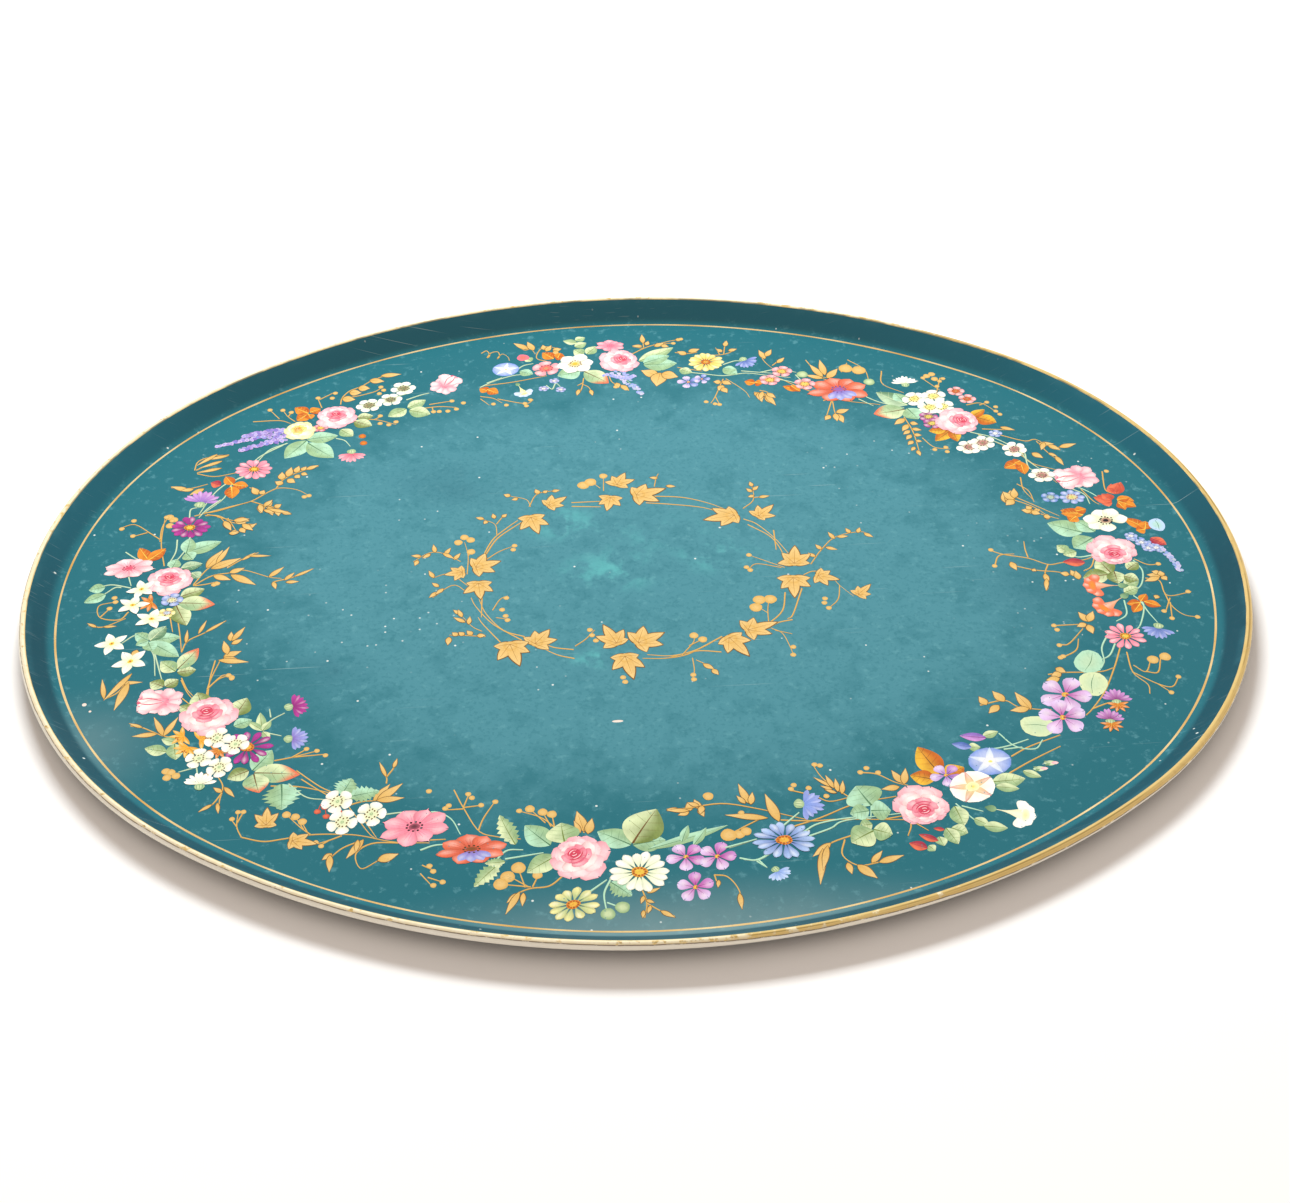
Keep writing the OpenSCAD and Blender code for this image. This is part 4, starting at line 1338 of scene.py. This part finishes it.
def lower_right_cluster(paint, gold):
    """The spray at the near side, right of its middle."""
    twigs(gold, "leaf_gold", 1.0, [[(0, -202), (12, -201), (31, -199), (49, -204), (62, -209), (77, -215)],
        [(66, -220), (84, -214), (105, -205), (129, -201)], [(62, -214), (80, -216), (96, -216),
        (131, -219)], [(71, -192), (83, -197), (91, -202), (102, -200)], [(102, -199), (94, -190),
        (89, -182), (86, -173)], [(112, -181), (121, -183), (130, -190), (137, -193)], [(103, -227),
        (87, -233), (79, -241)], [(95, -231), (92, -242), (99, -250), (110, -249), (125, -245)],
        [(118, -218), (130, -216)], [(196, -188), (211, -179), (230, -169)], [(200, -175), (212, -168),
        (232, -160)], [(133, -218), (133, -224), (130, -231)], [(133, -219), (142, -228)], [(39, -207),
        (51, -210)], [(32, -223), (42, -217), (51, -212)]])
    blades(gold, "gold", [(12, -203, 0, -202, 4), (20, -200, 18, -206, 5), (18, -200, 12, -197, 4),
        (46, -200, 42, -185, 6), (47, -201, 49, -192, 5), (44, -200, 40, -194, 4), (61, -215, 56, -194, 8),
        (55, -212, 32, -208, 6), (94, -191, 85, -183, 3), (95, -192, 92, -182, 4), (97, -195, 97, -185, 4),
        (99, -197, 101, -187, 4), (94, -193, 88, -190, 3), (96, -196, 90, -193, 3),
        (134, -191, 130, -181, 6), (135, -192, 138, -180, 6), (132, -194, 122, -195, 6),
        (87, -233, 76, -242, 6), (82, -237, 77, -262, 6), (85, -235, 80, -252, 5), (94, -248, 95, -256, 5),
        (99, -250, 108, -260, 8), (107, -249, 114, -241, 5), (111, -249, 125, -245, 6)])
    gold_dots(gold, 3.4, [(87, -173), (90, -174), (73, -188), (71, -191), (81, -191), (90, -198),
        (112, -181), (116, -178), (122, -182), (41, -207)])
    gold_dots(gold, 6, [(24, -193), (38, -223), (42, -221)])
    gold_dots(gold, 9, [(32, -223)])
    twigs(paint, "mint", 1.2, [[(29, -232), (47, -227)], [(38, -241), (46, -242), (56, -236)], [(46, -242),
        (50, -248)], [(73, -224), (83, -218), (103, -215), (112, -217)], [(76, -227), (89, -222),
        (98, -217), (130, -214)], [(62, -219), (73, -209)], [(115, -201), (112, -216)], [(161, -209),
        (169, -222), (175, -225)], [(164, -211), (175, -216)], [(183, -169), (198, -167), (213, -162)],
        [(197, -156), (204, -167), (215, -170), (221, -163)], [(197, -169), (208, -168)]])
    blades(paint, "ochre", [(157, -186, 147, -164, 16), (153, -190, 140, -185, 12),
        (160, -187, 171, -181, 12)])
    blades(paint, "mint", [(114, -207, 107, -192, 23), (112, -211, 101, -212, 12),
        (113, -211, 124, -211, 15)])
    blades(paint, "pale", [(112, -221, 105, -222, 9), (112, -226, 98, -233, 17), (112, -225, 122, -229, 14),
        (185, -194, 204, -194, 12), (186, -198, 199, -200, 7), (204, -187, 213, -193, 6),
        (160, -211, 163, -226, 11), (169, -221, 176, -227, 7), (173, -227, 186, -229, 8),
        (155, -227, 163, -232, 10), (152, -227, 157, -239, 9), (147, -233, 148, -240, 7),
        (140, -239, 143, -243, 6), (187, -158, 197, -155, 6), (177, -166, 184, -166, 7)])
    blades(paint, "red", [(146, -236, 136, -231, 5), (139, -241, 130, -236, 7), (151, -228, 145, -227, 3)])
    blades(paint, "violet", [(189, -159, 174, -157, 7)])
    blades(paint, "blue", [(179, -166, 168, -163, 6)])
    half_daisy(paint, 76, -203, 24, -10, "blue", "lavender")
    half_daisy(paint, 55, -251, 16, -60, "blue", "sky")
    daisy(paint, 62, -229, 36, 0, "deep_blue", "sky", "orange", 16, 0.8, thin=0.27)
    violet(paint, 160, -187, 20, 20, "violet", "mauve")
    rose(paint, 141, -208, 33, 200)
    morning_glory(paint, 187, -178, 26, 10)
    morning_glory(paint, 173, -197, 28, 30, "white", "butter", "coral_rose")
    trumpet(paint, 193, -219, 30, -20, "white", "cream", "butter")
    for x, y in ((214, -186), (221, -182)):
        bud(paint, x, y, 8, 0, "sage", "leaf_pale", "pink")


def right_cluster(paint, gold):
    """The spray at the right end."""
    twigs(gold, "leaf_gold", 1.0, [[(227, 9), (235, 4), (250, -1), (261, -8), (270, -7), (286, -5),
        (293, -1)], [(227, -7), (232, 3), (242, 4)], [(250, 0), (250, 8), (251, 16)], [(261, -8),
        (257, -17), (256, -29), (254, -33)], [(238, -7), (252, -13), (266, -16), (276, -21)], [(256, 62),
        (268, 51), (280, 40)], [(260, 76), (266, 68), (267, 56)], [(263, 46), (272, 41), (279, 37)],
        [(293, -1), (288, -12), (282, -16)], [(319, -26), (327, -29), (327, -41), (331, -44), (344, -41)],
        [(327, -41), (328, -53), (333, -62), (341, -65)], [(329, -46), (323, -58)], [(328, -50),
        (325, -65)], [(317, -7), (324, -13), (332, -13)], [(286, -89), (278, -106), (267, -126),
        (256, -140), (251, -145)], [(237, -109), (247, -108), (268, -109), (278, -106)], [(289, -93),
        (288, -111), (294, -122), (293, -130)], [(288, -111), (300, -122), (308, -125), (314, -117)],
        [(300, -122), (306, -130)], [(290, -105), (296, -111), (302, -100)], [(296, -111), (303, -112),
        (308, -100), (311, -99)], [(251, -66), (259, -66), (269, -66)], [(250, -83), (256, -83),
        (268, -70)], [(249, -95), (259, -89), (263, -79)], [(191, -132), (206, -129), (213, -135),
        (224, -138), (232, -139)], [(256, -140), (266, -136), (270, -136)]])
    blades(gold, "gold", [(265, 46, 258, 47, 7), (265, 46, 269, 48, 5), (270, 39, 274, 39, 5),
        (238, -4, 240, -12, 6), (250, -12, 252, -14, 4), (276, -21, 274, -15, 6), (277, -24, 277, -16, 6),
        (272, -19, 267, -17, 6), (257, -17, 257, -26, 5), (257, -22, 254, -33, 4), (329, -25, 321, -23, 7),
        (328, -26, 318, -29, 6), (330, -25, 332, -29, 6), (329, -22, 325, -20, 6), (330, -25, 330, -20, 6),
        (322, -43, 320, -46, 5), (243, -104, 248, -108, 7), (245, -109, 239, -110, 7),
        (243, -113, 235, -114, 7), (273, -64, 269, -55, 7), (273, -64, 278, -55, 7),
        (271, -66, 265, -68, 6), (272, -67, 273, -75, 7), (206, -130, 201, -121, 8),
        (220, -138, 214, -123, 9), (219, -137, 208, -138, 7), (195, -132, 192, -125, 7),
        (202, -133, 195, -139, 7), (249, 56, 249, 68, 8), (249, 56, 256, 65, 8), (250, 55, 254, 69, 8)])
    Brush(gold, 0, 0).dots([(251, -66), (250, -84), (248, -95), (250, -94), (252, -70), (341, -65),
        (342, -41), (325, -65), (322, -58), (331, -13), (306, -130), (314, -117), (228, 9), (227, -7)], 3.4,
        "gold_light", "leaf_gold")
    gold_dots(gold, 7, [(303, -101), (311, -99)])
    twigs(paint, "mint", 1.2, [[(316, -8), (319, -19), (314, -33), (305, -39)], [(310, -47), (312, -58),
        (315, -68)], [(300, -46), (298, -59), (290, -65)], [(307, -42), (311, -51), (304, -69), (298, -75)],
        [(282, -76), (275, -88), (273, -101), (266, -109)], [(284, -85), (278, -95), (271, -99)],
        [(292, -1), (281, -2), (275, 6)], [(297, 72), (308, 61), (315, 47)]])
    blades(paint, "mint", [(291, 22, 270, 32, 17), (299, 22, 290, 35, 13), (296, 16, 282, 6, 17)])
    blades(paint, "pale", [(277, 3, 271, 10, 9), (282, 3, 273, 1, 9), (304, -32, 314, -27, 9),
        (302, -39, 312, -35, 9)])
    blades(paint, "olive", [(299, -20, 293, -5, 14), (297, -21, 280, -22, 14), (301, -18, 301, -30, 12),
        (306, -23, 314, -28, 10), (310, -17, 318, -10, 9)])
    blades(paint, "red", [(285, -8, 271, -7, 8), (333, 13, 341, 5, 9)])
    blades(paint, "orange", [(296, 40, 282, 45, 10), (291, 39, 285, 34, 9), (296, 41, 293, 48, 9),
        (333, 23, 322, 35, 9), (332, 22, 326, 21, 8), (332, 22, 335, 30, 9), (324, 54, 325, 43, 7),
        (323, 56, 332, 45, 8), (324, 56, 333, 52, 7), (310, -49, 301, -49, 7), (310, -48, 315, -41, 6),
        (312, -48, 321, -54, 7), (309, -50, 303, -58, 7)])
    blades(paint, "coral", [(322, 60, 322, 71, 8), (323, 60, 330, 72, 8), (318, 52, 307, 57, 8),
        (318, 52, 311, 60, 7), (318, 54, 317, 61, 7), (318, 51, 311, 51, 7)])
    rounds(paint, [(264, -100)], 21, "sage", "mint")
    rounds(paint, [(262, -119), (221, -152)], 21)
    spike(paint, [(322, 14), (334, 4), (340, -6), (343, -20)], "blue", "sage", 4.5, 18, 3.0)
    for x, y in ((326, 9), (329, 3), (334, 3), (321, 16)):
        blossom(paint, x, y, 9, 0, "lavender", "blue", "white")
    rounds(paint, [(341, 26)], 13, "mint", "sky")
    blossom(paint, 279, 60, 13, 0, "blue", "deep_blue", "sage")
    blossom(paint, 293, 59, 18, 0, "lavender", "blue", "lemon", "crimson", 8)
    anemone(paint, 309, 33, 30, 8, "crimson", ("butter", "white"), "black", 7, 0.85)
    rose(paint, 305, 3, 31, 190)
    for x, y, turn in ((289, -31, 175), (290, -50, 215)):
        trumpet(paint, x, y, 30, turn, "coral", "coral", "orange")
    half_daisy(paint, 314, -73, 21, -110, "deep_blue", "lavender")
    daisy(paint, 292, -79, 27, 0, "rose", "pink", "gold_yellow", 12, 0.9, thin=0.32)
    violet(paint, 243, -127, 34, 30, "magenta", "lilac")
    violet(paint, 237, -146, 32, 60, "magenta", "lilac")
    for x, y in ((272, -134), (264, -150)):
        half_daisy(paint, x, y, 19, 80, "plum", "mauve")
        lily(paint, x, y - 3, 14, -90)


def upper_right_cluster(paint, gold):
    """The spray at the far right."""
    twigs(gold, "leaf_gold", 1.0, [[(103, 197), (109, 193), (112, 178)], [(141, 232), (148, 212),
        (156, 208)], [(144, 224), (150, 208), (158, 204)], [(146, 181), (152, 182), (152, 166), (155, 157)],
        [(152, 181), (145, 161)], [(171, 230), (181, 217), (182, 202)], [(164, 215), (170, 226)],
        [(193, 214), (191, 198), (204, 186)], [(220, 203), (230, 187)], [(233, 202), (227, 184)],
        [(245, 168), (256, 169), (266, 155)], [(254, 167), (260, 170)], [(250, 139), (272, 136)],
        [(261, 131), (276, 123), (284, 124), (294, 114), (310, 117)], [(284, 122), (289, 108), (296, 96)],
        [(199, 157), (202, 139), (202, 113)], [(207, 132), (213, 121), (223, 118)], [(271, 113), (274, 99),
        (292, 88)], [(245, 134), (268, 110), (287, 75)], [(301, 67), (306, 54), (309, 50)], [(264, 83),
        (263, 70), (267, 58)], [(253, 60), (265, 51), (273, 40)], [(258, 48), (267, 44)], [(320, 85),
        (317, 66), (320, 61)], [(105, 212), (118, 211), (131, 199), (155, 182), (185, 173)]])
    blades(gold, "gold", [(150, 210, 143, 226, 7), (152, 212, 151, 231, 7), (153, 208, 162, 219, 8),
        (150, 208, 138, 213, 6), (153, 166, 162, 169, 7), (154, 164, 156, 154, 7), (152, 165, 152, 156, 6),
        (148, 163, 144, 158, 6), (199, 155, 191, 149, 7), (200, 148, 195, 141, 6), (200, 141, 195, 137, 5),
        (200, 136, 196, 131, 5), (200, 129, 196, 125, 5), (200, 122, 197, 118, 4), (202, 150, 207, 148, 6),
        (202, 143, 208, 141, 5), (202, 136, 207, 135, 5), (202, 129, 206, 128, 4), (201, 118, 202, 112, 4),
        (263, 140, 272, 136, 5), (285, 119, 295, 118, 6), (291, 117, 298, 111, 6), (298, 114, 310, 117, 6),
        (289, 120, 285, 112, 5), (293, 104, 296, 94, 5), (289, 108, 294, 104, 4), (278, 109, 284, 103, 7),
        (254, 59, 249, 68, 8), (254, 59, 248, 54, 8), (255, 61, 257, 71, 7), (263, 46, 257, 48, 7),
        (263, 46, 268, 43, 7), (263, 48, 261, 52, 6), (270, 41, 274, 39, 6), (107, 191, 112, 178, 6),
        (105, 195, 102, 186, 5), (108, 193, 113, 187, 6)])
    gold_dots(gold, 3.4, [(265, 164), (266, 155), (260, 170), (264, 159), (221, 115), (213, 118),
        (221, 120), (221, 203), (232, 198), (235, 201), (229, 192), (323, 85)])
    gold_dots(gold, 5, [(228, 207), (224, 205), (229, 201)])
    gold_dots(gold, 10, [(168, 219), (177, 216)])
    twigs(paint, "sage", 1.2, [[(176, 184), (185, 176), (201, 168)], [(171, 181), (180, 172)], [(241, 136),
        (256, 128), (269, 113), (274, 99), (288, 78)], [(246, 132), (264, 117)], [(273, 109), (272, 93),
        (278, 89)], [(131, 214), (136, 202)], [(295, 68), (302, 61), (303, 51)], [(106, 219), (120, 222),
        (132, 217)], [(110, 212), (124, 207), (138, 198)]])
    blades(paint, "deep", [(204, 171, 184, 187, 15)])
    blades(paint, "autumn", [(201, 166, 179, 161, 17)])
    blades(paint, "mint", [(203, 167, 209, 154, 15), (202, 175, 198, 186, 10)])
    blades(paint, "ochre", [(229, 140, 216, 127, 10), (225, 140, 213, 140, 9), (229, 140, 231, 126, 9),
        (249, 153, 261, 145, 13), (245, 153, 256, 162, 8)])
    blades(paint, "orange", [(131, 195, 120, 200, 7), (126, 201, 131, 193, 7), (268, 100, 256, 93, 10),
        (268, 100, 267, 86, 9), (268, 101, 263, 98, 8), (293, 42, 282, 43, 9), (292, 44, 299, 46, 8),
        (322, 53, 332, 45, 8), (322, 51, 325, 44, 7), (322, 54, 331, 55, 7)])
    blades(paint, "coral", [(322, 62, 327, 72, 7), (321, 62, 320, 67, 6), (318, 53, 307, 57, 8),
        (318, 54, 314, 61, 7)])
    Brush(paint, 0, 0).dots([(136, 214), (182, 201)], 8, "leaf_pale", "fern")
    rosebud(paint, 301, 80, 34, 190)
    for x, y in ((237, 119), (247, 123), (267, 114), (279, 84)):
        blossom(paint, x, y, 19, rng.uniform(0, 70), "white", "cream", "crimson", "black", 6)
    blossom(paint, 258, 133, 10, 0, "lavender", "blue", "white")
    for x, y in ((216, 156), (217, 148)):
        blossom(paint, x, y, 14, 0, "magenta", "plum", "lemon")
    for x, y in ((241, 185), (247, 175)):
        blossom(paint, x, y, 13, 0, "pink", "coral", "burnt")
    for x, y in ((210, 178), (224, 180), (228, 167), (219, 167)):
        blossom(paint, x, y, 19, rng.uniform(0, 70), "white", "cream", "lemon", "umber")
    half_daisy(paint, 207, 197, 19, 90, "cream", "white")
    rose(paint, 234, 149, 31, -75)
    poppy(paint, 159, 193, 40, 0, "brick", "coral", "violet", squash=0.85, blue=True)
    for x, y in ((112, 209), (122, 219), (136, 202)):
        blossom(paint, x, y, 16, 0, "pink", "deep_rose", "lemon")


def wreath(gold):
    """The gold ivy wreath in the middle of the floor."""
    twigs(gold, "leaf_gold", 1.0, [[(-95, 29), (-87, 45), (-75, 57), (-69, 62)], [(-98, 24), (-90, 44),
        (-80, 56), (-73, 63)], [(-37, 79), (-18, 79)], [(-37, 75), (-18, 73)], [(15, 82), (36, 79),
        (52, 72), (65, 63)], [(12, 75), (29, 72), (49, 67), (63, 59)], [(74, 53), (82, 47), (92, 31),
        (99, 14)], [(76, 47), (88, 35), (93, 24), (96, 9)], [(92, 40), (91, 20)], [(91, -22), (87, -39),
        (77, -50), (69, -54)], [(102, -19), (93, -43), (89, -47)], [(92, -48), (83, -50), (76, -55)],
        [(47, -60), (35, -68), (23, -75), (10, -77), (-3, -76)], [(44, -62), (30, -71), (15, -75),
        (0, -73)], [(45, -74), (30, -72), (12, -77)], [(-44, -73), (-54, -69), (-63, -62)], [(-44, -65),
        (-56, -62), (-62, -57)], [(-73, -51), (-86, -44), (-96, -28), (-100, -14)], [(-75, -54), (-92, -38),
        (-102, -21), (-105, -12)], [(-88, -55), (-98, -38), (-101, -31)], [(-98, -7), (-99, -31)]])
    twigs(gold, "leaf_gold", 0.7, [[(-107, 11), (-106, 29), (-108, 43)], [(-106, 29), (-104, 34)],
        [(-111, 24), (-122, 33), (-131, 34), (-141, 26)], [(-107, 0), (-118, 12), (-129, 9)], [(-107, -7),
        (-116, 1), (-129, -10)], [(-95, 24), (-86, 32), (-76, 37)], [(-87, 49), (-88, 60), (-96, 66)],
        [(-87, 60), (-82, 69)], [(-64, 77), (-67, 85), (-80, 90)], [(-65, 77), (-59, 90), (-46, 93)],
        [(-17, 93), (-22, 99), (-28, 97)], [(-15, 90), (-14, 105)], [(19, 92), (21, 101), (23, 106)],
        [(75, 64), (83, 73), (84, 89)], [(83, 75), (93, 76)], [(111, 4), (120, 18), (131, 30), (148, 34),
        (155, 28)], [(105, -6), (112, -3), (121, -7), (126, -18), (133, -29)], [(126, -18), (123, -31),
        (116, -39)], [(94, 2), (82, 10), (73, 16)], [(92, 2), (77, 7), (71, 2)], [(77, -50), (78, -38),
        (80, -28)], [(78, -41), (72, -34)], [(78, -55), (84, -60), (87, -72), (88, -80)], [(80, -57),
        (90, -61)], [(21, -75), (29, -64), (30, -58)], [(26, -67), (36, -61)], [(27, -78), (27, -89),
        (25, -97)], [(29, -80), (35, -85), (41, -94)], [(-43, -62), (-36, -56), (-30, -48)], [(-97, -49),
        (-110, -47), (-119, -46)], [(-99, -44), (-105, -39), (-112, -27)], [(-92, -25), (-87, -15),
        (-82, -12)], [(-90, -32), (-83, -34)]])
    blades(gold, "gold", [(-115, 26, -111, 32, 4), (-121, 31, -117, 38, 4), (-127, 34, -128, 42, 4),
        (-130, 33, -135, 29, 4), (-136, 31, -142, 32, 4), (-138, 27, -140, 22, 4), (-122, 33, -115, 27, 4),
        (115, 11, 111, 15, 4), (120, 18, 117, 23, 4), (123, 20, 130, 17, 4), (130, 28, 127, 35, 4),
        (132, 30, 139, 30, 4), (141, 33, 139, 38, 4), (146, 33, 148, 38, 4), (150, 32, 155, 28, 4),
        (-125, 0, -129, 4, 4), (-126, -5, -131, -10, 4), (-122, -2, -127, -7, 4), (-128, 9, -131, 16, 4),
        (84, 87, 83, 92, 4), (83, 81, 80, 85, 4), (84, 83, 88, 87, 4), (84, 77, 80, 76, 4),
        (87, 75, 94, 76, 4), (-95, 66, -100, 68, 4), (-93, 64, -95, 61, 4), (-88, 66, -89, 71, 4),
        (-83, 67, -80, 70, 4), (-77, 89, -81, 91, 5), (-72, 86, -76, 85, 4), (-58, 90, -60, 95, 5),
        (-55, 91, -52, 93, 4), (-49, 92, -44, 93, 4), (-112, -27, -116, -23, 4), (-111, -30, -113, -23, 4),
        (-109, -35, -116, -30, 4), (-107, -37, -106, -30, 4), (-105, -47, -108, -43, 5),
        (-110, -47, -113, -44, 5), (-114, -47, -117, -44, 5), (-119, -48, -120, -55, 5),
        (-102, -48, -97, -48, 5), (22, 101, 17, 102, 4), (27, 92, 33, 91, 4), (33, -84, 39, -89, 5),
        (38, -89, 41, -94, 5)])
    gold_dots(gold, 3.6, [(-76, 37), (-77, 33), (73, 16), (70, 4), (72, 1), (-33, -48), (-32, -53),
        (-30, -58), (-83, -14), (-86, -25), (-84, -31), (-83, -35), (114, -34), (116, -39), (115, -30),
        (89, -73), (88, -80), (-16, -92), (-15, -96), (26, -93), (26, -97)])
    gold_dots(gold, 5.5, [(-108, 48), (-104, 45), (-112, 43), (-104, 33), (-14, 106), (30, -58), (35, -62)])
    gold_dots(gold, 8, [(-28, 97), (-23, 100), (81, -28), (74, -28), (71, -35)])
    for x, y, size, turn in ((-100, 18, 30, 20), (-100, 0, 28, -90), (-111, 13, 22, 190),
            (-64, 64, 30, -80), (-51, 78, 24, 30), (-11, 81, 26, -100), (-5, 97, 26, 60), (8, 84, 34, 10),
            (67, 57, 34, 190), (85, 56, 24, 40), (101, 7, 32, 80), (98, -10, 32, -90), (115, -8, 24, -20),
            (137, -27, 20, 40), (65, -55, 30, 20), (52, -63, 32, -60), (-3, -61, 34, 30),
            (-18, -60, 30, 110), (-13, -75, 32, -80), (-66, -57, 30, 50), (-82, -59, 34, -80)):
        ivy(gold, x, y, size, turn)


LINE_STATIONS = 720
LINE_INSET, LINE_WIDTH, LINE_LIFT = 20.15, 1.25, 0.04


def cove_height(inset):
    """The height of the floor or the cove at an inset, with the gold line's own lift."""
    into_cove = np.clip(FOLD_IN - inset, 0, COVE_R)
    return SHEET + COVE_R - np.sqrt(COVE_R ** 2 - into_cove ** 2) + LINE_LIFT


def gold_line(gold):
    """The thin gold band where the wall rises, a little uneven in place, width and colour."""
    count = LINE_STATIONS
    ring = oval_frame(count)
    inset = LINE_INSET + 0.12 * (sway(count, (3, 7, 19), 11) - 0.5)
    width = LINE_WIDTH + 0.5 * (sway(count, (5, 13, 31, 67), 13) - 0.5)
    edges = [inset + width / 2, inset - width / 2]
    points = np.vstack([np.column_stack([on_oval(ring, at), cove_height(at)]) for at in edges])
    faces = [(k, count + k, count + (k + 1) % count, (k + 1) % count) for k in range(count)]
    made = build_mesh("gold_line", points, faces)
    bright, dull = mixed("gold_light", "cream", 0.35), mixed("leaf_gold", "gold_dark", 0.35)
    tone = bright + (dull - bright) * sway(count, (9, 27, 53), 17)[:, None]
    colour_points(made, np.tile(tone, (2, 1)))
    made.data.materials.append(gold)
    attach(made, "root")


def paint_tray():
    """Lays the gold line, the eight sprays and the wreath, each as its own pieces."""
    flower_paint, shell_gold = painted_finish(), gold_finish()
    gold_line(shell_gold)
    clusters = (top_cluster, upper_left_cluster, left_cluster, lower_left_cluster, front_cluster,
                lower_right_cluster, right_cluster, upper_right_cluster)
    for cluster in clusters:
        paint, gold = Coat(), Coat()
        cluster(paint, gold)
        name = cluster.__name__.replace("_cluster", "")
        gold.dried(f"gold_{name}", shell_gold)
        paint.dried(f"garland_{name}", flower_paint)
    middle = Coat()
    wreath(middle)
    middle.dried("gold_wreath", shell_gold)


# ------------ camera, light and floor
CAMERA_PLACE = (-0.0837, -0.9741, 0.8266)
CAMERA_SPIN, CAMERA_TILT, CAMERA_ROLL = -4.0, 49.0, -0.3
FOCAL_LENGTH = 56.57
LENS_SHIFT = (0.0251, 0.0033)
ROOM_LIGHT = (1.0, 0.87, 0.765, 1)
ROOM_STRENGTH = 0.62
WINDOW_TINT = (0.93, 0.985, 1.0)
WINDOW_PLACE, WINDOW_SIZE, WINDOW_POWER = (-0.2, 2.2, 1.65), (1.4, 0.45), 116
FLOOR_TINTS = (0.91, 0.905, 0.905, 1), (0.94, 0.935, 0.935, 1)
FLOOR_REACH, FLOOR_DROP = 9000, -0.1


def set_camera():
    """Looks down on the tray from its front, a little from the left."""
    spin = Matrix.Rotation(math.radians(CAMERA_SPIN), 4, "Z")
    tilt = Matrix.Rotation(math.radians(CAMERA_TILT), 4, "X")
    roll = Matrix.Rotation(math.radians(CAMERA_ROLL), 4, "Z")
    data = bpy.data.cameras.new("camera")
    data.lens = FOCAL_LENGTH
    data.shift_x, data.shift_y = LENS_SHIFT
    camera = bpy.data.objects.new("camera", data)
    camera.matrix_world = Matrix.Translation(CAMERA_PLACE) @ spin @ tilt @ roll
    bpy.context.scene.collection.objects.link(camera)
    bpy.context.scene.camera = camera


def add_window():
    """A wide light behind the tray that faces its middle and isn't mirrored in the lacquer."""
    data = bpy.data.lights.new("window_light", "AREA")
    data.shape, data.energy, data.color = "RECTANGLE", WINDOW_POWER, WINDOW_TINT
    data.size, data.size_y = WINDOW_SIZE
    lamp = bpy.data.objects.new("window_light", data)
    lamp.visible_glossy = False
    look = Vector((0, 0, 0)) - Vector(WINDOW_PLACE)
    turned = look.to_track_quat("-Z", "Y").to_matrix().to_4x4()
    lamp.matrix_world = Matrix.Translation(WINDOW_PLACE) @ turned
    bpy.context.scene.collection.objects.link(lamp)


def set_studio():
    """Warm light from all round, a cooler window behind the tray, and a pale floor."""
    scene = bpy.context.scene
    scene.view_settings.view_transform = "Standard"
    world = bpy.data.worlds.new("studio")
    world.use_nodes = True
    background = world.node_tree.nodes["Background"].inputs
    background["Color"].default_value = ROOM_LIGHT
    background["Strength"].default_value = ROOM_STRENGTH
    scene.world = world
    add_window()
    floor = Finish("pale_floor")
    tint = floor.blend(floor.noise(3.0), *FLOOR_TINTS)
    sides = ((-1, -1), (1, -1), (1, 1), (-1, 1))
    corners = [(x * FLOOR_REACH, y * FLOOR_REACH, FLOOR_DROP) for x, y in sides]
    ground = build_mesh("floor", corners, [(0, 1, 2, 3)])
    ground.data.materials.append(floor.finished(Base_Color=tint, Roughness=0.7))


set_camera()
set_studio()
pan = make_pan()
for finish in (teal_ground(), rim_gilding(), japanned_back()):
    pan.data.materials.append(finish)
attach(pan, "root")
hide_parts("pan")
paint_tray()
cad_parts["edge_wire"].data.materials.clear()
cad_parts["edge_wire"].data.materials.append(drawn_wire())
